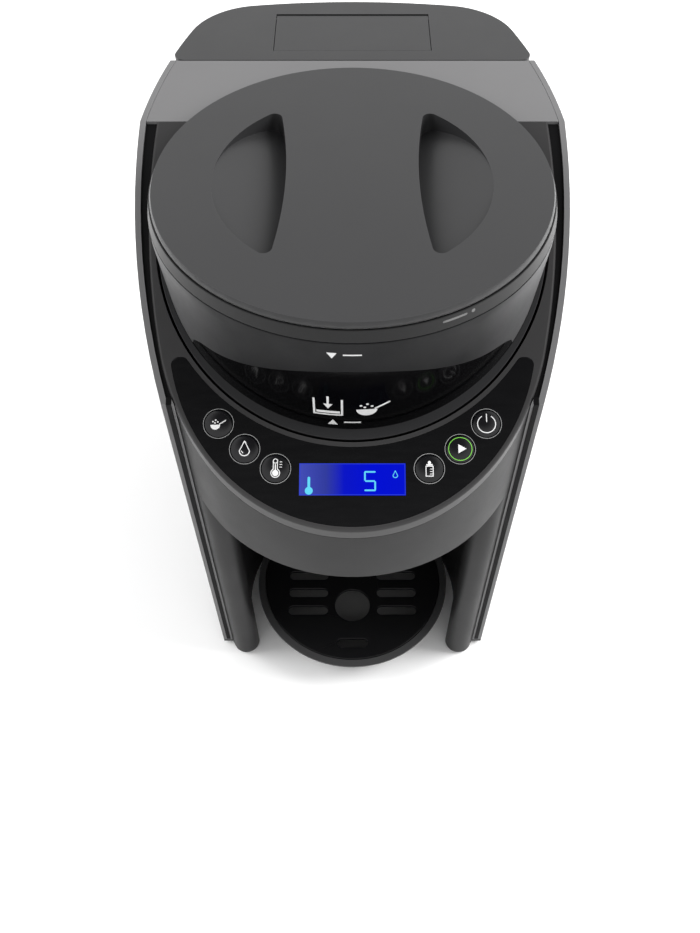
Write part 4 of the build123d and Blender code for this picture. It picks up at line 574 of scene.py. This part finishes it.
# a measuring scoop: half a disc and a slanting handle
def addScoop(shape, u, v, size, line):
    bowl = bmesh.ops.create_circle(shape, cap_ends=True, segments=40, radius=size,
                                   matrix=Matrix.Translation((u, v, 0)))["verts"]
    edges = {edge for vert in bowl for edge in vert.link_edges}
    faces = {face for vert in bowl for face in vert.link_faces}
    bmesh.ops.bisect_plane(shape, geom=bowl + list(edges) + list(faces), plane_co=(u, v, 0),
                           plane_no=(0, 1, 0), clear_outer=True)
    addBar(shape, u + size * scoop["out"], v + size * scoop["up"], size * scoop["length"], line,
           scoop["turn"], True)


def addTriangle(shape, u, v, radius, turn=0.0):
    place = Matrix.Translation((u, v, 0)) @ Matrix.Rotation(turn, 4, "Z")
    bmesh.ops.create_circle(shape, cap_ends=True, segments=3, radius=radius, matrix=place)


# a pointed drop: a circle whose upper half is narrowed and drawn out; with a width it is only an outline
def addDrop(shape, u, v, radius, width=0.0, narrow=0.45, draw=0.85):
    sizes = (radius, radius - width) if width else (radius,)
    loops = []
    for size in sizes:
        verts = bmesh.ops.create_circle(shape, segments=48, cap_ends=not width, radius=size,
                                        matrix=Matrix.Translation((u, v, 0)))["verts"]
        for vert in verts:
            rise = max(0, (vert.co.y - v) / size)
            vert.co.x = u + (vert.co.x - u) * (1 - narrow * rise)
            vert.co.y += size * draw * rise ** 3
        loops += verts
    if width:
        bmesh.ops.bridge_loops(shape, edges=list({edge for vert in loops for edge in vert.link_edges}))


def addFrame(shape, u, v, width, height, line):
    for side in (-1, 1):
        addBar(shape, u, v + side * (height - line) / 2, width, line)
        addBar(shape, u + side * (width - line) / 2, v, line, height)


# cuts marks finely enough to follow a curved face, then drops them onto it along the drawing plane's normal
def layMarks(name, shape, place, target, ink, body, slotName, lift=0.00005, step=0.0012, **ways):
    across = [vert.co.x for vert in shape.verts]
    up = [vert.co.y for vert in shape.verts]
    for spots, normal in ((across, Vector((1, 0, 0))), (up, Vector((0, 1, 0)))):
        least = min(spots)
        most = max(spots)
        cuts = int((most - least) / step)
        for cut in range(1, cuts + 1):
            there = normal * (least + (most - least) * cut / (cuts + 1))
            bmesh.ops.bisect_plane(shape, geom=shape.verts[:] + shape.edges[:] + shape.faces[:],
                                   plane_co=there, plane_no=normal)
    carrier = bmesh.new()
    carrier.from_mesh(target.data)
    tree = BVHTree.FromBMesh(carrier)
    carrier.free()
    outside = 0.03  # rays start this far in front of the drawing plane
    ray = -place.to_3x3().col[2].normalized()
    for vert in shape.verts:
        start = place @ vert.co
        hit = tree.ray_cast(start - ray * outside, ray)
        vert.co = (hit[0] if hit[0] else start) - ray * lift
    bmesh.ops.recalc_face_normals(shape, faces=shape.faces)
    putPiece(name, shape, ink, body, slotName, **ways)


# round button caps; the crown is (radius, share of the dome's height)
button = {"dome": 0.0009, "radius": 0.0069, "edge": 0.0003, "edgeDrop": -0.0004, "flange": 0.0083,
          "flangeTop": -0.0039, "flangeLow": -0.0049, "stem": 0.0015, "end": -0.008,
          "crown": ((0.0016, 0.96), (0.0032, 0.82), (0.0048, 0.56), (0.0061, 0.24))}
# each cap stands on its own key's axis: the key's lowest box corner is the near side of its round face
buttonSpots = {}
for key in ("powder", "water", "temp", "volume", "start", "power"):
    keyLow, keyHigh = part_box(key + "_button")
    upDeck = (keyLow[1] - drumBack) / cos(deckSlope) + button["radius"]
    buttonSpots[key] = ((keyLow[0] + keyHigh[0]) / 2, upDeck)
capOutline = [(0, button["dome"])] + [(radius, button["dome"] * share) for radius, share in button["crown"]]
capOutline += [
    (button["radius"] - button["edge"], 0.0), (button["radius"], button["edgeDrop"]),
    (button["radius"], button["flangeTop"]), (button["flange"], button["flangeTop"]),
    (button["flange"], button["flangeLow"]), (button["stem"], button["flangeLow"]),
    (button["stem"], button["end"]), (0, button["end"]),
]
caps = {}
for key, (u, v) in buttonSpots.items():
    shape = bmesh.new()
    corners = [shape.verts.new((radius, 0, height)) for radius, height in capOutline]
    for first, second in zip(corners, corners[1:]):
        shape.edges.new((first, second))
    bmesh.ops.spin(shape, geom=shape.verts[:] + shape.edges[:], axis=(0, 0, 1), cent=(0, 0, 0), steps=72,
                   angle=2 * pi, use_merge=True)
    bmesh.ops.remove_doubles(shape, verts=shape.verts, dist=0.000001)
    bmesh.ops.transform(shape, matrix=deckFace @ Matrix.Translation((u, v, 0)), verts=shape.verts)
    caps[key] = putPiece(key + "_cap", shape, finishes["button"], key + "_key", "button", smooth=35,
                         bevel=0.0002, replaced=(key + "_button",))
print("button caps:", len(caps))

# pictograms on the domes, each drawn round its button's middle
symbols = {key: bmesh.new() for key in buttonSpots}
line = 0.0005
thinLine = line * 0.8
above = 0.002  # the drawing plane's height over the deck's face

powderSign = {"bowl": (-0.0014, -0.0008), "size": 0.0024, "grain": 0.0004,
              "grains": ((-0.0026, 0.0008), (-0.0012, 0.0015), (-0.0016, 0.0001), (-0.0002, 0.0006))}
addScoop(symbols["powder"], *powderSign["bowl"], powderSign["size"], line)
for grainU, grainV in powderSign["grains"]:
    addDisc(symbols["powder"], grainU, grainV, powderSign["grain"], 16)

waterSign = {"middle": (0, -0.0010), "radius": 0.0027, "shine": (-0.0011, -0.0016, 0.0012),
             "turn": radians(-50)}
addDrop(symbols["water"], *waterSign["middle"], waterSign["radius"], line)
addBar(symbols["water"], *waterSign["shine"], thinLine, waterSign["turn"], True)

# a thermometer with its ticks
tempSign = {"bulb": (0, -0.0023), "filling": 0.0015, "glass": 0.0023, "open": 0.42, "wall": 0.0010,
            "wallMiddle": 0.0016, "wallLength": 0.0042, "top": (0, 0.0036, 0.00125), "column": (0, 0.0002),
            "columnLength": 0.0036, "ticks": 3, "tickPlace": (0.0026, 0.0006), "tickRise": 0.0013,
            "tickLength": 0.0012}
addDisc(symbols["temp"], *tempSign["bulb"], tempSign["filling"])
addRing(symbols["temp"], *tempSign["bulb"], tempSign["glass"], thinLine, gap=tempSign["open"])
for side in (-1, 1):
    addBar(symbols["temp"], side * tempSign["wall"], tempSign["wallMiddle"], thinLine, tempSign["wallLength"])
addRing(symbols["temp"], *tempSign["top"], thinLine)
addBar(symbols["temp"], *tempSign["column"], line, tempSign["columnLength"])
tickU, tickV = tempSign["tickPlace"]
for tick in range(tempSign["ticks"]):
    addBar(symbols["temp"], tickU, tickV + tick * tempSign["tickRise"], tempSign["tickLength"], line * 0.7)

# a bottle with its ticks
volumeSign = {"middle": (0, -0.0014), "width": 0.0038, "height": 0.0052,
              "collar": (0, 0.0017, 0.0030, 0.0007), "teat": (0, 0.0028, 0.0008), "ticks": 3,
              "tickPlace": (0.0008, -0.0028), "tickRise": 0.0012, "tickLength": 0.0012}
addFrame(symbols["volume"], *volumeSign["middle"], volumeSign["width"], volumeSign["height"], thinLine)
addBar(symbols["volume"], *volumeSign["collar"])
addDisc(symbols["volume"], *volumeSign["teat"], 24)
tickU, tickV = volumeSign["tickPlace"]
for tick in range(volumeSign["ticks"]):
    addBar(symbols["volume"], tickU, tickV + tick * volumeSign["tickRise"], volumeSign["tickLength"],
           line * 0.6)

startSign = {"arrow": (0.0003, 0, 0.0026), "turn": radians(-90), "ring": 0.0058, "ringWidth": 0.0003}
addTriangle(symbols["start"], *startSign["arrow"], startSign["turn"])

powerSign = {"ring": (0, -0.0003, 0.0046), "open": 0.5, "bar": (0, 0.0027), "barLength": 0.0042}
addRing(symbols["power"], *powerSign["ring"], line * 0.9, gap=powerSign["open"])
addBar(symbols["power"], *powerSign["bar"], line * 0.9, powerSign["barLength"])

for key, shape in symbols.items():
    layMarks(key + "_symbol", shape, deckFace @ Matrix.Translation((*buttonSpots[key], above)), caps[key],
             inks["white"], key + "_key", "button")

shape = bmesh.new()
addRing(shape, 0, 0, startSign["ring"], startSign["ringWidth"])
layMarks("start_ring", shape, deckFace @ Matrix.Translation((*buttonSpots["start"], above)), caps["start"],
         inks["green"], "start_key", "button")

# thin printed rings on the panel, one round each button
buttonRing = {"radius": 0.0075, "width": 0.00024, "lift": 0.00004}
shape = bmesh.new()
for u, v in buttonSpots.values():
    addRing(shape, u, v, buttonRing["radius"], buttonRing["width"])
onPanel = deckFace @ Matrix.Translation((0, 0, buttonRing["lift"]))
bmesh.ops.transform(shape, matrix=onPanel, verts=shape.verts)
putPiece("button_rings", shape, inks["silver"], "machine", "panel_black")

# display: one digit of (u, v, length, degrees) strokes, a drop, a thermometer and the lit border
display = {"low": -0.1365, "high": -0.1199, "lift": 0.00005, "stroke": 0.0008,
           "digit": ((0.00845, -0.1243, 0.0046, 0), (0.0060, -0.1264, 0.0036, 90),
                     (0.00845, -0.1288, 0.0040, 0), (0.0109, -0.1311, 0.0036, 90),
                     (0.00845, -0.1333, 0.0046, 0)),
           "drop": (0.0206, -0.1260, 0.0013, 0.0004), "bulb": (-0.0209, -0.1335, 0.0019),
           "tube": (-0.0209, -0.1299, 0.0013, 0.0052), "tubeTop": (-0.0209, -0.1273, 0.00065),
           "border": (0.0508, 0.0154, 0.0003), "borderUp": 0.0003}
onDisplay = deckFace @ Matrix.Translation((0, 0, display["lift"]))
shape = bmesh.new()
for u, v, length, turn in display["digit"]:
    addBar(shape, u, v, length, display["stroke"], radians(turn), True)
addDrop(shape, *display["drop"])
addDisc(shape, *display["bulb"])
addBar(shape, *display["tube"])
addDisc(shape, *display["tubeTop"], 16)
bmesh.ops.transform(shape, matrix=onDisplay, verts=shape.verts)
putPiece("display_cells", shape, inks["cyan"], "machine", "lcd_glass")
shape = bmesh.new()
addFrame(shape, 0, (display["low"] + display["high"]) / 2 + display["borderUp"], *display["border"])
bmesh.ops.transform(shape, matrix=onDisplay, verts=shape.verts)
putPiece("display_border", shape, inks["blue"], "machine", "lcd_glass")
print("panel marks laid")

# black strips that carry the side trims' line down the shell's front edges, and over onto the deck
trim = {"side": 0.08985, "width": 0.0027, "down": (-0.1031, 0.139), "downSize": (0.0006, 0.2654),
        "over": (-0.1013, 0.2722), "overSize": (0.0040, 0.0006)}
for side, label in ((-1, "left"), (1, "right")):
    shape = bmesh.new()
    down = Matrix.Translation((side * trim["side"], *trim["down"]))
    down = down @ Matrix.Diagonal((trim["width"], *trim["downSize"], 1))
    over = Matrix.Translation((side * trim["side"], *trim["over"])) @ Matrix.Rotation(deckSlope, 4, "X")
    over = over @ Matrix.Diagonal((trim["width"], *trim["overSize"], 1))
    for place in (down, over):
        bmesh.ops.create_cube(shape, size=1, matrix=place)
    putPiece("front_trim_" + label, shape, finishes["trim_black"], "machine", "trim_black", bevel=0.0002)

# near-black polished patch on the drum's satin face, drawn upright and laid on the wall from the front:
# partly a smoked window and partly painted reflection, as its outline follows the dark panel mirrored in the
# drum
drumWall = bpy.data.objects["drum_wall"]
frontOn = Matrix.Translation((0, -0.14, 0)) @ Matrix.Rotation(radians(90), 4, "X")
reflectionWindow = {"reach": 0.0795, "tip": 0.0105, "top": 0.312, "low": 0.2615, "topBow": 5.347, "topFlat": 395.4,
          "lowRadius": 0.3}
shape = bmesh.new()
bmesh.ops.create_grid(shape, x_segments=96, y_segments=10, size=0.5)
for vert in shape.verts:
    across = vert.co.x * 2 * reflectionWindow["reach"]
    top = reflectionWindow["top"] - reflectionWindow["topBow"] * across ** 2 + reflectionWindow["topFlat"] * across ** 4
    low = reflectionWindow["low"] + reflectionWindow["lowRadius"] - sqrt(reflectionWindow["lowRadius"] ** 2 - across ** 2)
    pastTip = max(0, (abs(across) - reflectionWindow["reach"] + reflectionWindow["tip"]) / reflectionWindow["tip"])
    share = sqrt(max(0, 1 - pastTip ** 2))
    vert.co = (across, (top + low) / 2 + vert.co.y * share * (top - low), 0)
bmesh.ops.remove_doubles(shape, verts=shape.verts, dist=0.00001)
layMarks("drum_smoked_pane_painted_reflection", shape, frontOn, drumWall, reflectionWindowFinish, "container", "drum", lift=0.00006, step=0.004)

# fill marks on the drum: bars are (u, v, length, width) and arrowheads (u, v, radius), with a turn in degrees
fillMarks = {
    "levels": (((0, 0.3240, 0.0082, 0.0009), (-0.0090, 0.3240, 0.0026), 180),
               ((0, 0.2722, 0.0081, 0.0010), (-0.0094, 0.2714, 0.0028), 0)),
    "jar": -0.0115, "jarHalf": 0.0066, "jarSide": (0.2842, 0.0010, 0.0128),
    "jarBars": ((0.2782, 0.0142, 0.0010), (0.2803, 0.0112, 0.0018), (0.2897, 0.0011, 0.0060)),
    "jarArrow": (0.2855, 0.0026), "scoop": (0.0068, 0.2829, 0.0050, 0.0011), "grain": 0.0007,
    "grains": ((0.0040, 0.2859), (0.0070, 0.2871), (0.0058, 0.2846), (0.0092, 0.2853)),
}
shape = bmesh.new()
for bar, arrow, turn in fillMarks["levels"]:
    addBar(shape, *bar)
    addTriangle(shape, *arrow, radians(turn))
for side in (-1, 1):
    addBar(shape, fillMarks["jar"] + side * fillMarks["jarHalf"], *fillMarks["jarSide"])
for bar in fillMarks["jarBars"]:
    addBar(shape, fillMarks["jar"], *bar)
addTriangle(shape, fillMarks["jar"], *fillMarks["jarArrow"], radians(180))
addScoop(shape, *fillMarks["scoop"])
for grainU, grainV in fillMarks["grains"]:
    addDisc(shape, grainU, grainV, fillMarks["grain"], 16)
layMarks("drum_marks", shape, frontOn, drumWall, inks["white"], "container", "drum", lift=0.00014, step=0.003)

# lock mark on the lid's collar
lockMark = {"bar": (0.0440, 0.3352, 0.0098, 0.0010), "dot": (0.0521, 0.3354, 0.0008)}
shape = bmesh.new()
addBar(shape, *lockMark["bar"], roundEnds=True)
addDisc(shape, *lockMark["dot"], 24)
layMarks("lock_mark", shape, frontOn, bpy.data.objects["lid_collar_ring"], inks["grey"], "lid", "lid",
         step=0.002)
print("front marks laid")


# a plain number, set as text and turned to mesh
def addNumber(shape, u, v, size, number):
    lettering = bpy.data.curves.new("number", "FONT")
    lettering.body = str(number)
    lettering.size = size
    lettering.align_x = "CENTER"
    lettering.align_y = "CENTER"
    holder = bpy.data.objects.new("number", lettering)
    flat = bpy.data.meshes.new_from_object(holder)
    count = len(shape.verts)
    shape.from_mesh(flat)
    shape.verts.ensure_lookup_table()
    bmesh.ops.translate(shape, vec=(u, v, 0), verts=shape.verts[count:])
    bpy.data.objects.remove(holder)
    bpy.data.curves.remove(lettering)
    bpy.data.meshes.remove(flat)


fromBehind = Matrix.Translation((0, 0.165, 0)) @ Matrix.Rotation(pi, 4, "Z") @ Matrix.Rotation(pi / 2, 4, "X")
tankBack = bpy.data.objects["water_tank_soft"]
shellBack = bpy.data.objects["outer_shell_soft"]

# water level scale printed on the tank's back, with a half mark over each numbered one
scale = {"side": 0.040, "low": 0.128, "rise": 0.030, "marks": 6, "mark": (0.012, 0.0009),
         "half": (0.006, 0.0007), "halfIn": 0.003, "numberOut": 0.0115, "numberSize": 0.0075,
         "arrowIn": 0.0095, "arrow": 0.0026}
shape = bmesh.new()
for mark in range(scale["marks"]):
    height = scale["low"] + mark * scale["rise"]
    addBar(shape, scale["side"], height, *scale["mark"])
    addBar(shape, scale["side"] - scale["halfIn"], height + scale["rise"] / 2, *scale["half"])
    addNumber(shape, scale["side"] + scale["numberOut"], height, scale["numberSize"], mark + 1)
topMark = scale["low"] + (scale["marks"] - 1) * scale["rise"]
addTriangle(shape, scale["side"] - scale["arrowIn"], topMark, scale["arrow"], radians(-90))
layMarks("tank_scale", shape, fromBehind, tankBack, inks["pale"], "tank", "tank", step=0.004)

# grip ribs where the tank is held to lift it out
grip = {"side": 0.076, "low": 0.286, "rise": 0.0042, "ribs": 7, "rib": (0.020, 0.0016)}
for side, label in ((-1, "right"), (1, "left")):
    shape = bmesh.new()
    for rib in range(grip["ribs"]):
        addBar(shape, side * grip["side"], grip["low"] + rib * grip["rise"], *grip["rib"], roundEnds=True)
    layMarks("tank_grip_" + label, shape, fromBehind, tankBack, finishes["tank"], "tank", "tank",
             lift=0.0002, step=0.003, thick=0.0012, bevel=0.0003)

# vents low on the shell's back: upright bars over a dark patch, which is painted shade where the openings
# between the bars would be
vent = {"side": 0.047, "height": 0.058, "patch": (0.040, 0.034), "bars": 9, "pitch": 0.0049,
        "bar": (0.0022, 0.034), "endUp": 0.0172, "end": (0.0420, 0.0016)}
for side, label in ((-1, "right"), (1, "left")):
    middle = side * vent["side"]
    shape = bmesh.new()
    # painted shade: a flat dark patch, with no openings behind the bars
    addBar(shape, middle, vent["height"], *vent["patch"])
    layMarks("vent_painted_shade_" + label, shape, fromBehind, shellBack, finishes["trim_black"], "machine",
             "trim_black", step=0.003)
    shape = bmesh.new()
    for bar in range(vent["bars"]):
        addBar(shape, middle + (bar - vent["bars"] // 2) * vent["pitch"], vent["height"], *vent["bar"])
    for end in (-1, 1):
        addBar(shape, middle, vent["height"] + end * vent["endUp"], *vent["end"])
    layMarks("vent_slats_" + label, shape, fromBehind, shellBack, finishes["shell"], "machine", "shell",
             lift=0.0004, step=0.003, thick=0.0009, bevel=0.0002)
print("rear marks laid")

low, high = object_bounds()
